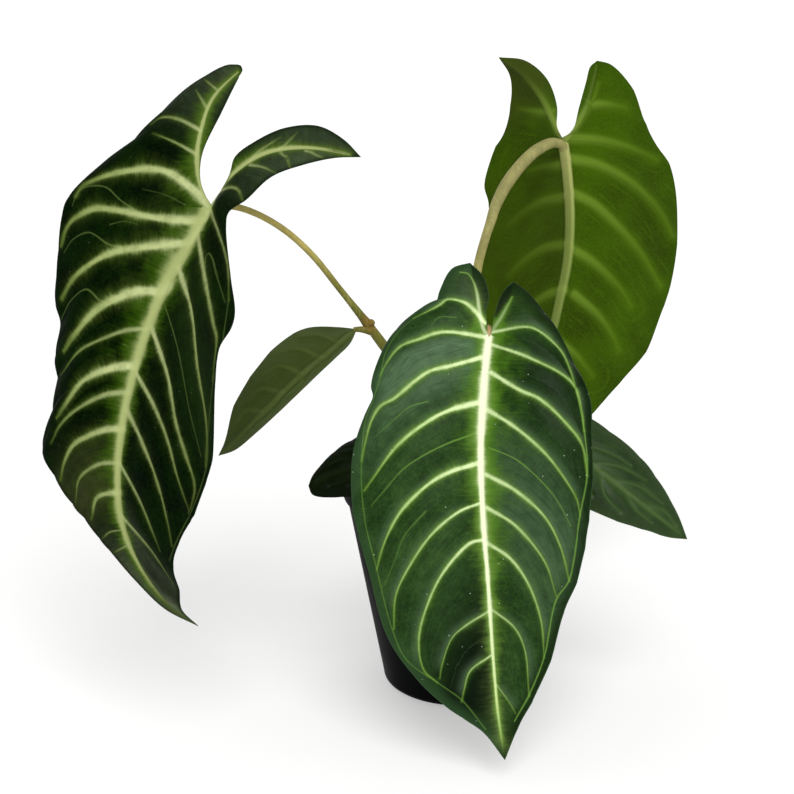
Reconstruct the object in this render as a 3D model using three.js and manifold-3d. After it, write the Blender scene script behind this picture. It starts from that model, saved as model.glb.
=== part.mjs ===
// A young Xanthosoma lindenii in a small nursery pot: three large arrow-shaped leaves and three small ones on long
// stalks, which grow from a short stem in the potting mix. Millimetres, +Z up, origin under the middle of the pot.
import * as THREE from "three";
import { mergeVertices } from "three/addons/utils/BufferGeometryUtils.js";
import Module from "manifold-3d";

const wasm = await Module();
wasm.setup();

// Driving sizes of the pot and what stands in it
const gap = 0.3;
const pot = { height: 118, rimRadius: 65, rimHeight: 9, topRadius: 63, baseRadius: 43, edge: 5, wall: 1.6, floor: 2.4 };
const drain = { count: 6, radius: 4.5, ring: 29 };
const soilTop = 103;
const stem = { radius: 13, bottom: 78, top: 110, socketFloor: 100 };

// Every blade is measured square on to one line of sight, which comes from the front, 17 degrees above level.
const eye = new THREE.Vector3(-35.6, -1026, 478);
const sightTilt = THREE.MathUtils.degToRad(17);
const sight = new THREE.Vector3(0, Math.cos(sightTilt), -Math.sin(sightTilt));
const upInView = new THREE.Vector3(0, Math.sin(sightTilt), Math.cos(sightTilt));

// A blade's points are [across, down, rise] in mm from where its stalk joins it: across is to the right, rise is
// towards the eye. Margin points have their vein position in front: -1 is the tip of the half's basal lobe,
// 0 the stalk, 1 the tip of the leaf. Veins are listed by the same positions.
const blades = {
  front: {
    junction: [10.4, -68.1, 216.5], upperFace: 1, rows: 34, lobeRows: 8,
    midrib: [[0, 0, 0], [-2, 19, 3], [-4, 56.5, 8], [-3, 89, 10], [-0.5, 121.5, 9], [2, 159, 6], [4.5, 187.5, 3],
      [8, 211.5, 0]],
    left: {
      bow: 0.11,
      basal: [[0, 0, 0], [-4.5, -9.5, 0], [-7, -20, -2], [-9.5, -37, -8]],
      sinus: [[0, -3.5, -1], [-0.5, -13.5, -2], [0, -20, -4], [-3, -30.5, -8], [-9.5, -37, -8]],
      margin: [[-1, -9.5, -37, -8], [-0.85, -18.5, -34, -9], [-0.66, -24.5, -23.5, -8], [-0.52, -27.5, -15.5, -7],
        [-0.38, -38.5, -10.5, -6], [-0.26, -46.5, -4, -5], [-0.12, -54.5, 10, -1], [0, -59, 24, 2],
        [0.03, -58, 30, 3], [0.05, -61.5, 37.5, 4], [0.095, -68, 58, 5], [0.153, -68.5, 83, 6],
        [0.228, -65.5, 98, 7], [0.296, -60, 118, 7], [0.393, -51, 149.5, 6], [0.477, -37.5, 169.5, 5],
        [0.645, -22.5, 184, 4], [0.751, -12.5, 191, 3], [0.88, -2.5, 198, 1], [1, 8, 211.5, 0]],
      veins: [-0.6, -0.26, 0, 0.05, 0.153, 0.228, 0.296, 0.393, 0.477, 0.645, 0.751],
    },
    right: {
      bow: 0.09,
      basal: [[0, 0, 0], [5.5, -8.5, 0], [9, -16.5, -2], [12, -27.5, -7]],
      sinus: [[0, -3.5, -1], [2.5, -10, -1], [5.5, -20, -4], [8.5, -24.5, -6], [12, -27.5, -7]],
      margin: [[-1, 12, -27.5, -7], [-0.82, 18.5, -23, -5], [-0.56, 26, -14.5, -2], [-0.35, 33.5, -4.5, 2],
        [-0.15, 43, 14, 8], [0.02, 50.5, 30.5, 13], [0.05, 51.5, 49, 17], [0.085, 52, 70.5, 20],
        [0.173, 50, 91.5, 20], [0.26, 48, 105.5, 19], [0.325, 44, 122.5, 17], [0.402, 37.5, 137.5, 15],
        [0.48, 31, 161.5, 12], [0.645, 21.5, 182.5, 8], [0.82, 14.5, 195.5, 4], [1, 8, 211.5, 0]],
      veins: [-0.5, -0.15, 0.02, 0.085, 0.173, 0.26, 0.325, 0.402, 0.48, 0.645, 0.82],
    },
  },
  left: {
    junction: [-128.6, -49.2, 278.2], upperFace: 1, rows: 34, lobeRows: 9,
    midrib: [[0, 0, 0], [-10.5, 19, 3], [-21.5, 37.5, 6], [-30.5, 58.5, 8], [-36.5, 77, 9], [-42.5, 101, 9],
      [-46, 128.5, 8], [-45, 153.5, 6], [-39, 172, 4], [-28, 190, 2], [-17.5, 201, 1], [-6.5, 209, 0]],
    left: {
      bow: 0.16,
      basal: [[0, 0, 0], [-5.5, -13, 0], [-7, -25, -2], [-5, -39, -5], [1, -55, -9], [16, -71.5, -14]],
      sinus: [[0, -1.5, -1], [-3.5, -7.5, 0], [-5.5, -15, -1], [-4.5, -27.5, -3], [4, -48, -8], [12, -64, -13],
        [16, -71.5, -14]],
      margin: [[-1, 16, -71.5, -14], [-0.92, 8.5, -71.5, -15], [-0.8, -3, -66, -16], [-0.7, -13, -59, -17],
        [-0.55, -30.5, -42.5, -18], [-0.4, -39, -34, -18], [-0.22, -53.5, -22.5, -18], [-0.06, -71.5, -5.5, -18],
        [-0.02, -74.5, 5, -18], [0.02, -76.5, 21, -18], [0.05, -77, 33.5, -17], [0.08, -78, 47.5, -16],
        [0.13, -75, 58, -15], [0.2, -78, 73.5, -15], [0.295, -77, 85, -14], [0.37, -79.5, 103.5, -13],
        [0.437, -84.5, 119.5, -13], [0.515, -78.5, 134, -11], [0.59, -69.5, 148, -9], [0.652, -63.5, 155, -7],
        [0.736, -56, 165, -5], [0.78, -51, 171, -4], [0.87, -38, 186, -2], [0.94, -23, 200.5, 0],
        [1, -6.5, 209, 0]],
      veins: [-0.8, -0.6, -0.4, -0.06, 0.02, 0.08, 0.2, 0.295, 0.37, 0.437, 0.515, 0.59, 0.652, 0.736, 0.78],
    },
    right: {
      bow: 0.03,
      basal: [[0, 0, 0], [5.5, -9, 3], [13.5, -18.5, 7], [27, -27, 11], [47, -30, 14], [75, -25.5, 12]],
      sinus: [[0, -1.5, -1], [3.5, -6.5, 2], [9, -16, 6], [12, -25.5, 5], [22.5, -33.5, 7], [37, -40, 9],
        [53.5, -41, 11], [66, -34.5, 12], [75, -25.5, 12]],
      margin: [[-1, 75, -25.5, 12], [-0.85, 62, -25, 15], [-0.68, 46, -21.5, 19], [-0.5, 30, -15.5, 22],
        [-0.33, 18, -4.5, 24], [-0.15, 9, 2, 27], [-0.08, 7.5, 9, 32], [0, 9.5, 33.5, 44], [0.025, 12, 52.5, 54],
        [0.06, 2.5, 86, 58], [0.153, 0.5, 126, 52], [0.24, -3, 138.5, 47], [0.295, -8.5, 153.5, 42],
        [0.39, -10.5, 157, 38], [0.474, -16.5, 168.5, 30], [0.59, -19, 179.5, 22], [0.71, -16, 191, 13],
        [0.85, -14.5, 201, 5], [1, -6.5, 209, 0]],
      veins: [-0.75, -0.5, -0.3, 0, 0.06, 0.153, 0.24, 0.295, 0.39, 0.474, 0.59, 0.71],
    },
  },
  back: {
    junction: [61.4, 126.9, 281.4], upperFace: -1, rows: 34, lobeRows: 8,
    midrib: [[0, 0, 0], [2.5, 19.5, 1], [4, 45.5, 2], [2.5, 70, 2], [-2, 92.5, 1], [-8, 118.5, 0], [-17, 148, -1],
      [-32, 190.5, -2]],
    left: {
      bow: 0.1,
      basal: [[0, 0, 0], [-6, -13, -1], [-13, -26.5, -4], [-21.5, -37.5, -8], [-37.5, -49.5, -14]],
      sinus: [[-0.5, -2.5, 0], [-3.5, -9, 0], [-3.5, -21, -2], [-9.5, -37, -6], [-22, -47.5, -10],
        [-37.5, -49.5, -14]],
      margin: [[-1, -37.5, -49.5, -14], [-0.82, -31, -38.5, -17], [-0.6, -30.5, -21, -22], [-0.4, -35, -4.5, -27],
        [-0.2, -42.5, 10.5, -32], [-0.05, -46, 25.5, -36], [0.03, -43, 37.5, -38], [0.12, -47.5, 60, -40],
        [0.25, -52, 86.5, -38], [0.42, -52.5, 118.5, -32], [0.6, -49.5, 148, -24], [0.8, -42.5, 173, -12],
        [1, -32, 190.5, -2]],
      veins: [-0.6, -0.3, 0.03, 0.12, 0.25, 0.42, 0.6, 0.8],
    },
    right: {
      bow: 0.1,
      basal: [[0, 0, 0], [7, -9.5, 0], [13, -21, -1], [17, -34, -3], [20, -47.5, -6]],
      sinus: [[-0.5, -2.5, 0], [5.5, -6.5, 1], [9.5, -20.5, 0], [13.5, -35, -2], [16, -44, -4], [20, -47.5, -6]],
      margin: [[-1, 20, -47.5, -6], [-0.85, 28.5, -45, -8], [-0.6, 41, -30.5, -11], [-0.35, 48.5, -10, -13],
        [-0.15, 55, 2, -14], [-0.03, 62, 13, -15], [0.01, 66, 28, -15], [0.053, 66.5, 60, -15],
        [0.1, 63, 84, -15], [0.155, 59, 95.5, -14], [0.32, 48.5, 122.5, -13], [0.46, 32.5, 141.5, -11],
        [0.6, 16, 160, -9], [0.8, -4, 176.5, -6], [1, -32, 190.5, -2]],
      veins: [-0.6, -0.35, -0.03, 0.053, 0.155, 0.32, 0.46, 0.6, 0.8],
    },
  },
  right: {
    junction: [37.9, -26.1, 157.4], upperFace: 1, rows: 18, lobeRows: 4,
    midrib: [[0, 0, 0], [16, 11.5, 2], [36, 26.5, 4], [57.5, 43.5, 3], [80, 61, 0]],
    left: {
      bow: 0.1,
      basal: [[0, 0, 0], [-7.5, 0.5, -1], [-16.5, 3, -4]],
      sinus: [[-2, -1.5, 0], [-8.5, -2.5, -1], [-16.5, 3, -4]],
      margin: [[-1, -16.5, 3, -4], [-0.6, -14, 12, -2], [-0.2, -5.5, 23.5, 2], [0.05, 6.5, 33, 5],
        [0.25, 20.5, 41.5, 7], [0.45, 43, 51.5, 7], [0.7, 60.5, 57, 5], [0.88, 70, 60, 2], [1, 80, 61, 0]],
      veins: [-0.5, -0.1, 0.1, 0.27, 0.45, 0.62, 0.8],
    },
    right: {
      bow: 0.1,
      basal: [[0, 0, 0], [-3, -7.5, -2], [-6.5, -16.5, -6]],
      sinus: [[-2, -1.5, 0], [-6.5, -7.5, -2], [-6.5, -16.5, -6]],
      margin: [[-1, -6.5, -16.5, -6], [-0.6, 2.5, -17, -7], [-0.2, 12.5, -12, -8], [0.05, 21.5, -7, -8],
        [0.25, 37, 2.5, -8], [0.45, 55, 17.5, -7], [0.7, 67, 33.5, -5], [0.88, 75, 48, -2], [1, 80, 61, 0]],
      veins: [-0.5, -0.1, 0.1, 0.27, 0.45, 0.62, 0.8],
    },
  },
  low: {
    junction: [-12.9, -30.1, 144.2], upperFace: 1, rows: 16, lobeRows: 4,
    midrib: [[0, 0, 0], [-18.5, 2.5, 3], [-39.5, 7.5, 4], [-57, 13, 2], [-69.5, 19, 0]],
    left: {
      bow: 0.1,
      basal: [[0, 0, 0], [6, -6, -2], [10.5, -14, -6]],
      sinus: [[1.5, 0, 0], [8, -6, -2], [10.5, -14, -6]],
      margin: [[-1, 10.5, -14, -6], [-0.5, 1.5, -16, -8], [-0.1, -13, -15.5, -10], [0.2, -28.5, -12, -11],
        [0.45, -44, -6.5, -10], [0.65, -54, -0.5, -7], [0.82, -62, 7, -4], [0.93, -67.5, 14, -1],
        [1, -69.5, 19, 0]],
      veins: [-0.5, -0.05, 0.15, 0.32, 0.5, 0.68, 0.85],
    },
    right: {
      bow: 0.1,
      basal: [[0, 0, 0], [6, 3.5, 0], [12, 9.5, 0]],
      sinus: [[1.5, 0, 0], [8, 2, 0], [12, 9.5, 0]],
      margin: [[-1, 12, 9.5, 0], [-0.5, 5, 17, 4], [-0.1, -8.5, 20.5, 7], [0.2, -25.5, 22.5, 8],
        [0.45, -43.5, 24.5, 7], [0.65, -54, 25, 5], [0.82, -62.5, 25, 3], [0.93, -67.5, 23.5, 1],
        [1, -69.5, 19, 0]],
      veins: [-0.5, -0.05, 0.15, 0.32, 0.5, 0.68, 0.85],
    },
  },
  side: {
    junction: [-56.6, -21, 208], upperFace: -1, rows: 20, lobeRows: 0,
    midrib: [[0, 0, 0], [-14, 12, 2], [-30, 25, 3], [-48, 42.5, 3], [-64, 58.5, 1], [-72.5, 66.5, 0]],
    left: {
      bow: 0.1,
      margin: [[0, 0, 0, 0], [0.08, -10.5, -1, -1], [0.2, -26.5, -0.5, -3], [0.33, -40, 7, -5],
        [0.5, -52.5, 20.5, -6], [0.7, -64.5, 40.5, -5], [0.87, -69, 58.5, -2], [1, -72.5, 66.5, 0]],
      veins: [0.1, 0.25, 0.4, 0.55, 0.7, 0.85],
    },
    right: {
      bow: 0.1,
      margin: [[0, 0, 0, 0], [0.08, -3.5, 7.5, 1], [0.2, -11, 15, 2], [0.33, -20.5, 24, 2], [0.5, -35, 38, 2],
        [0.7, -50, 52, 1], [0.87, -64, 63.5, 0], [1, -72.5, 66.5, 0]],
      veins: [0.1, 0.25, 0.4, 0.55, 0.7, 0.85],
    },
  },
};

// Relief of a blade: thickness, rib under the midrib, puffed fields between the veins, arch of each half, waved edge
const leaf = { thickness: 0.7, rib: 1.1, ribHalfWidth: 2.2, puff: 0.055, maxPuff: 1.5, arch: 0.07, wave: 1.1 };
const columns = [0, 0.2, 0.42, 0.64, 0.84, 1];
const flangeColumns = [0, 0.5, 1];

// Stalks run from a socket in the stem to the underside of their blade. Radii go from foot to blade.
const stalks = {
  left: {
    foot: [-5.5, -1.5], radii: [3.4, 2.9, 2.9, 1.9, 1.7], radiiAt: [0, 0.35, 0.5, 0.56, 1], sides: 10, steps: 40,
    route: [[-7.2, -0.7, 127.4], [-14.5, -4.2, 146.9], [-27.6, -10.4, 174.2], [-43.2, -17.1, 200.2],
      [-52.9, -19.7, 214.1], [-65.8, -22, 230.3], [-78.5, -24.7, 247.5], [-91, -27.5, 260.4],
      [-103.4, -31.7, 269.7], [-115.1, -36.4, 275.6], [-123.7, -42.6, 277.8], [-128.7, -48.4, 277.5]],
  },
  front: {
    foot: [2, -6.5], radii: [2.6, 2.1, 1.6], radiiAt: [0, 0.5, 1], sides: 8, steps: 24,
    route: [[2.4, -6.4, 123.9], [3.2, -8.9, 147.1], [6.3, -17, 173.4], [9.2, -30.8, 196.6], [10.6, -43.5, 209.8],
      [10.6, -53.2, 215.6], [10.7, -61.1, 216.6], [10.4, -68, 214.4]],
  },
  back: {
    foot: [3, 6.5], radii: [3.2, 2.6, 2.6, 3.2, 3.7, 3.6], radiiAt: [0, 0.4, 0.64, 0.71, 0.78, 1], sides: 10,
    steps: 30,
    route: [[1.9, 11, 124.6], [2.5, 21, 150.4], [5, 39.7, 191.1], [9.8, 59.8, 222.8],
      [14, 69.2, 236.3], [16.9, 74.6, 243.8], [20.3, 82.5, 252.4], [25.6, 91.4, 261.1],
      [31.4, 98.7, 268], [38.2, 106.9, 274.2], [44.6, 111.5, 279], [53, 118.2, 282.1],
      [57.2, 122.3, 281.8], [61.4, 126.1, 280.6]],
  },
  right: {
    foot: [7.5, 0.5], radii: [2.2, 1.7, 1.3], radiiAt: [0, 0.5, 1], sides: 8, steps: 16,
    route: [[8.4, -1.6, 118.8], [11.7, -2.4, 132.1], [19.9, -8.3, 147.1], [29.1, -15.1, 155.5], [35.1, -21.5, 158],
      [39, -26.3, 156.6]],
  },
  low: {
    foot: [-6, -8], radii: [1.8, 1.4, 1.2], radiiAt: [0, 0.5, 1], sides: 8, steps: 14,
    route: [[-6.8, -8.9, 121.1], [-5.9, -10.8, 131.7], [-7.2, -17.6, 140.6], [-10.1, -25.3, 144.6],
      [-14.5, -30.2, 144]],
  },
};
// The node on the left leaf's stalk: a swelling with a small knob, and the short foot of the side leaf
const node = {
  place: [-51.8, -19.8, 210.4], swelling: 3, knob: [-48.5, -19.4, 211.5], knobRadius: 1.8, footRadius: 1.2,
  footRoute: [[-51.8, -19.8, 210.4], [-53.9, -20.4, 208.4], [-55.3, -20.6, 207.7], [-57.1, -20.7, 207.4]],
};

const colours = {
  upper: 0x1f4a22, under: 0x3f6a1e, stalk: 0x8f8448, stem: 0x6f6a3c, soil: 0x2b2119, pot: 0x111113,
};
const material = (colour, roughness) => new THREE.MeshStandardMaterial({ color: colour, roughness, metalness: 0 });
const materials = {
  upper: material(colours.upper, 0.38), under: material(colours.under, 0.55), stalk: material(colours.stalk, 0.5),
  stem: material(colours.stem, 0.6), soil: material(colours.soil, 0.95), pot: material(colours.pot, 0.5),
};

// Closed geometry to solid and back
function solid(geometry) {
  const bare = geometry.clone();
  bare.deleteAttribute("normal");
  bare.deleteAttribute("uv");
  const merged = mergeVertices(bare, 1e-4);
  const index = merged.index.array;
  const corners = [];
  for (let i = 0; i < index.length; i += 3) {
    const [a, b, c] = [index[i], index[i + 1], index[i + 2]];
    if (a !== b && b !== c && c !== a) corners.push(a, b, c);
  }
  const place = merged.attributes.position.array;
  if (volumeOf(place, corners) < 0) corners.reverse();
  const mesh = new wasm.Mesh({
    numProp: 3, vertProperties: new Float32Array(place), triVerts: new Uint32Array(corners),
  });
  return new wasm.Manifold(mesh);
}

function volumeOf(place, corners) {
  const [a, b, c] = [new THREE.Vector3(), new THREE.Vector3(), new THREE.Vector3()];
  let sum = 0;
  for (let i = 0; i < corners.length; i += 3) {
    a.fromArray(place, 3 * corners[i]);
    b.fromArray(place, 3 * corners[i + 1]);
    c.fromArray(place, 3 * corners[i + 2]);
    sum += a.dot(b.cross(c)) / 6;
  }
  return sum;
}

function geometryOf(manifold) {
  const mesh = manifold.getMesh();
  const geometry = new THREE.BufferGeometry();
  geometry.setAttribute("position", new THREE.BufferAttribute(new Float32Array(mesh.vertProperties), 3));
  geometry.setIndex(new THREE.BufferAttribute(new Uint32Array(mesh.triVerts), 1));
  return geometry;
}

function largestPiece(manifold) {
  return manifold.decompose().sort((one, other) => other.volume() - one.volume())[0];
}

// A blade point slides along its line of sight by its rise, so that the outline seen from the eye stays.
function placeInView(blade, [across, down, rise]) {
  const point = new THREE.Vector3(...blade.junction);
  point.x += across;
  point.addScaledVector(upInView, -down);
  const fromEye = point.sub(eye);
  const depth = fromEye.dot(sight);
  return fromEye.multiplyScalar((depth - rise) / depth).add(eye);
}

const curveThrough = (points) => new THREE.CatmullRomCurve3(points.map((p) => new THREE.Vector3(...p)));

// One half of a blade: its spine (basal vein, then midrib), its margin and its bow, by vein position
function halfOf(blade, side) {
  const half = blade[side];
  const midrib = curveThrough(blade.midrib);
  const basal = half.basal && curveThrough(half.basal);
  const sinus = half.sinus && curveThrough(half.sinus);
  const margin = curveThrough(half.margin.map(([, ...point]) => point));
  const stations = half.margin.map(([at]) => at);
  const last = stations.length - 1;
  const sign = side === "left" ? -1 : 1;

  const spineAt = (at) => (at < 0 ? basal.getPointAt(-at) : midrib.getPointAt(at));
  const marginAt = (at) => {
    let i = 0;
    while (i < last - 1 && stations[i + 1] < at) i += 1;
    const within = THREE.MathUtils.clamp((at - stations[i]) / (stations[i + 1] - stations[i]), 0, 1);
    return margin.getPoint((i + within) / last);
  };
  const rowPoint = (at, s) => {
    const start = spineAt(at);
    const chord = marginAt(at).sub(start);
    const bend = 4 * s * (1 - s) * half.bow * sign;
    return [start.x + chord.x * s + chord.y * bend, start.y + chord.y * s - chord.x * bend, start.z + chord.z * s];
  };
  const width = (at) => spineAt(at).distanceTo(marginAt(at));
  // Veins crossed so far, with the share of the field to the next one
  const veinCount = (at) => {
    const edges = [stations[0] - 0.1, ...half.veins, 1.1];
    let i = 0;
    while (i < edges.length - 2 && edges[i + 1] < at) i += 1;
    return i + (at - edges[i]) / (edges[i + 1] - edges[i]);
  };
  return { half, sinus, spineAt, marginAt, rowPoint, width, veinCount };
}

// Height of a blade's surface over its plain shape: arched halves, fields puffed up between veins, waved edge
function relief(side, at, s) {
  const width = side.width(at);
  const field = side.veinCount(at) % 1;
  const dome = 4 * field * (1 - field);
  const inside = Math.sin(Math.PI * Math.min(1, 1.15 * s));
  const arch = leaf.arch * width * 4 * s * (1 - s);
  const puff = Math.min(leaf.maxPuff, leaf.puff * width) * dome * inside;
  const wave = leaf.wave * Math.min(1, width / 40) * (dome - 0.6) * s ** 3;
  return arch + puff + wave;
}

// Vein positions a steady step apart where the blade is widest
function rowPositions(sides, from, to, count) {
  const fine = 240;
  const places = [...Array(fine + 1).keys()].map((i) => from + ((to - from) * i) / fine);
  const lines = (at) => [sides[0].spineAt(at), ...sides.map((side) => side.marginAt(at))];
  const run = [0];
  for (let i = 1; i <= fine; i += 1) {
    const before = lines(places[i - 1]);
    const step = Math.max(...lines(places[i]).map((point, k) => point.distanceTo(before[k])));
    run.push(run[i - 1] + step);
  }
  const rows = [];
  let i = 0;
  for (let row = 0; row <= count; row += 1) {
    const wanted = (run[fine] * row) / count;
    while (i < fine - 1 && run[i + 1] < wanted) i += 1;
    rows.push(places[i] + ((places[i + 1] - places[i]) * (wanted - run[i])) / (run[i + 1] - run[i]));
  }
  rows[0] = from;
  rows[count] = to;
  return rows;
}

// The middle sheet of a blade: points, triangles, relief over the plain shape and rib height at each point
function sheetOf(blade) {
  const points = [];
  const reliefs = [];
  const ribs = [];
  const corners = [];
  const known = new Map();
  const add = (point, height, rib) => {
    const key = point.map((value) => Math.round(value * 1000)).join();
    if (!known.has(key)) {
      known.set(key, points.length);
      points.push(placeInView(blade, point));
      reliefs.push(height);
      ribs.push(rib);
    }
    return known.get(key);
  };
  const strip = (grid, turned) => {
    for (let r = 0; r + 1 < grid.length; r += 1) {
      for (let c = 0; c + 1 < grid[r].length; c += 1) {
        const [a, b, d, e] = [grid[r][c], grid[r][c + 1], grid[r + 1][c + 1], grid[r + 1][c]];
        for (const [p, q, t] of [[a, b, d], [a, d, e]]) {
          if (p !== q && q !== t && t !== p) corners.push(...(turned ? [p, t, q] : [p, q, t]));
        }
      }
    }
  };
  const sides = ["left", "right"].map((name) => halfOf(blade, name));
  const bodyRows = rowPositions(sides, 0, 1, blade.rows);
  sides.forEach((side, k) => {
    const lobeRows = blade.lobeRows ? rowPositions([side], -1, 0, blade.lobeRows) : [];
    const rows = [...lobeRows.slice(0, -1), ...bodyRows];
    const ribAt = (at) => leaf.rib * Math.min(1, side.width(at) / 20) * (1 - 0.6 * Math.abs(at));
    strip(rows.map((at) => {
      const ribEdge = Math.min(0.5, leaf.ribHalfWidth / Math.max(side.width(at), 0.1));
      return columns.map((share) => {
        const s = share === 0 ? 0 : ribEdge + (share - columns[1]) * (1 - ribEdge) / (1 - columns[1]);
        return add(side.rowPoint(at, s), relief(side, at, s), share === 0 ? ribAt(at) : 0);
      });
    }), k === 1);
    if (side.sinus) {
      strip([...lobeRows].map((at) => {
        const inner = side.spineAt(at);
        const outer = side.sinus.getPointAt(-at);
        return flangeColumns.map((share) => {
          const point = inner.clone().lerp(outer, share).toArray();
          return add(point, 0, share === 0 ? ribAt(at) : 0);
        });
      }), k === 0);
    }
  });
  return { points, reliefs, ribs, corners };
}

function normalsOf(points, corners) {
  const normals = points.map(() => new THREE.Vector3());
  for (let i = 0; i < corners.length; i += 3) {
    const [a, b, c] = corners.slice(i, i + 3);
    const edge = points[b].clone().sub(points[a]);
    const face = edge.cross(points[c].clone().sub(points[a]));
    for (const corner of [a, b, c]) normals[corner].add(face);
  }
  return normals.map((normal) => normal.normalize());
}

// A closed blade, or with a margin all over, the room that a stalk leaves free for it
function bladeGeometry(blade, extra = 0) {
  const sheet = sheetOf(blade);
  const lean = normalsOf(sheet.points, sheet.corners);
  const middle = sheet.points.map((point, i) => {
    const towardsUpper = lean[i].dot(sight) < 0 ? blade.upperFace : -blade.upperFace;
    return point.clone().addScaledVector(lean[i], sheet.reliefs[i] * towardsUpper);
  });
  const normals = normalsOf(middle, sheet.corners);
  const upper = normals.map((normal) => (normal.dot(sight) < 0 ? blade.upperFace : -blade.upperFace));
  const half = leaf.thickness / 2 + extra;
  const count = middle.length;
  const face = (way) => middle.map((point, i) => {
    const under = way !== upper[i];
    return point.clone().addScaledVector(normals[i], way * (half + (under ? sheet.ribs[i] : 0)));
  });
  const points = [...face(1), ...face(-1)];
  const corners = [...sheet.corners];
  for (let i = 0; i < sheet.corners.length; i += 3) {
    const [a, b, c] = sheet.corners.slice(i, i + 3);
    corners.push(a + count, c + count, b + count);
  }
  for (const [a, b] of openEdges(sheet.corners)) corners.push(a, a + count, b + count, a, b + count, b);
  const geometry = new THREE.BufferGeometry().setFromPoints(points);
  geometry.setIndex(corners);
  return geometry;
}

function openEdges(corners) {
  const seen = new Map();
  for (let i = 0; i < corners.length; i += 3) {
    for (const [a, b] of [[0, 1], [1, 2], [2, 0]]) {
      const [from, to] = [corners[i + a], corners[i + b]];
      if (!seen.delete(`${to} ${from}`)) seen.set(`${from} ${to}`, [from, to]);
    }
  }
  return [...seen.values()];
}

// A round tube along a curve, with flat ends and a radius given at shares of its length
function tube(points, radiusAt, steps, sides) {
  const curve = new THREE.CatmullRomCurve3(points.map((point) => new THREE.Vector3(...point)));
  const { normals, binormals } = curve.computeFrenetFrames(steps, false);
  const places = [];
  for (let i = 0; i <= steps; i += 1) {
    const centre = curve.getPointAt(i / steps);
    for (let k = 0; k < sides; k += 1) {
      const turn = (2 * Math.PI * k) / sides;
      const reach = radiusAt(i / steps);
      places.push(centre.clone()
        .addScaledVector(normals[i], reach * Math.cos(turn))
        .addScaledVector(binormals[i], reach * Math.sin(turn)));
    }
  }
  const corners = [];
  for (let i = 0; i < steps; i += 1) {
    for (let k = 0; k < sides; k += 1) {
      const [a, b] = [i * sides + k, i * sides + ((k + 1) % sides)];
      corners.push(a, b, b + sides, a, b + sides, a + sides);
    }
  }
  const top = steps * sides;
  for (let k = 1; k + 1 < sides; k += 1) corners.push(0, k + 1, k, top, top + k, top + k + 1);
  const geometry = new THREE.BufferGeometry().setFromPoints(places);
  geometry.setIndex(corners);
  return geometry;
}

function between(shares, values, share) {
  let i = 0;
  while (i < shares.length - 2 && shares[i + 1] < share) i += 1;
  return THREE.MathUtils.mapLinear(share, shares[i], shares[i + 1], values[i], values[i + 1]);
}

function stalkSolid(name) {
  const { foot, radii, radiiAt, route, steps, sides } = stalks[name];
  const points = [[...foot, stem.socketFloor + gap], [...foot, stem.top], ...route];
  return solid(tube(points, (share) => between(radiiAt, radii, share), steps, sides));
}

const clearOf = (manifold, ...names) => names.reduce(
  (left, name) => left.subtract(solid(bladeGeometry(blades[name], gap))), manifold);

function leftStalk() {
  const swelling = solid(new THREE.SphereGeometry(node.swelling, 12, 8).scale(1, 1, 1.25).translate(...node.place));
  const knob = solid(new THREE.SphereGeometry(node.knobRadius, 10, 6).translate(...node.knob));
  const sideFoot = solid(tube(node.footRoute, (share) => node.footRadius * (1.5 - 0.7 * share), 6, 8));
  return stalkSolid("left").add(swelling).add(knob).add(sideFoot);
}

// Round pieces are turned on the Z axis
function turned(profile, sides) {
  const geometry = new THREE.LatheGeometry(profile.map(([r, z]) => new THREE.Vector2(r, z)), sides);
  return geometry.rotateX(Math.PI / 2);
}

function cylinder(radius, from, to, sides, [x, y] = [0, 0]) {
  const geometry = new THREE.CylinderGeometry(radius, radius, to - from, sides);
  return solid(geometry.rotateX(Math.PI / 2).translate(x, y, (from + to) / 2));
}

const wallRadius = (z) => THREE.MathUtils.mapLinear(z, pot.edge, pot.height - pot.rimHeight, pot.baseRadius,
  pot.topRadius);

function potSolid() {
  const rimFoot = pot.height - pot.rimHeight;
  const corner = pot.edge * (1 - Math.SQRT1_2);
  const profile = [
    [0, 0], [pot.baseRadius - pot.edge, 0], [pot.baseRadius - corner, corner], [pot.baseRadius, pot.edge],
    [pot.topRadius, rimFoot], [pot.rimRadius - 0.6, rimFoot], [pot.rimRadius, rimFoot + 0.8],
    [pot.rimRadius, pot.height - 1], [pot.rimRadius - 1, pot.height], [pot.rimRadius - 3, pot.height],
    [pot.topRadius - pot.wall, rimFoot], [wallRadius(pot.edge) - pot.wall, pot.edge],
    [pot.baseRadius - pot.edge, pot.floor], [0, pot.floor],
  ];
  let cup = solid(turned(profile, 48));
  for (let k = 0; k < drain.count; k += 1) {
    const turn = (2 * Math.PI * (k + 0.5)) / drain.count;
    const place = [drain.ring * Math.cos(turn), drain.ring * Math.sin(turn)];
    cup = cup.subtract(cylinder(drain.radius, -1, pot.floor + 1, 10, place));
  }
  return cup;
}

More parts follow.
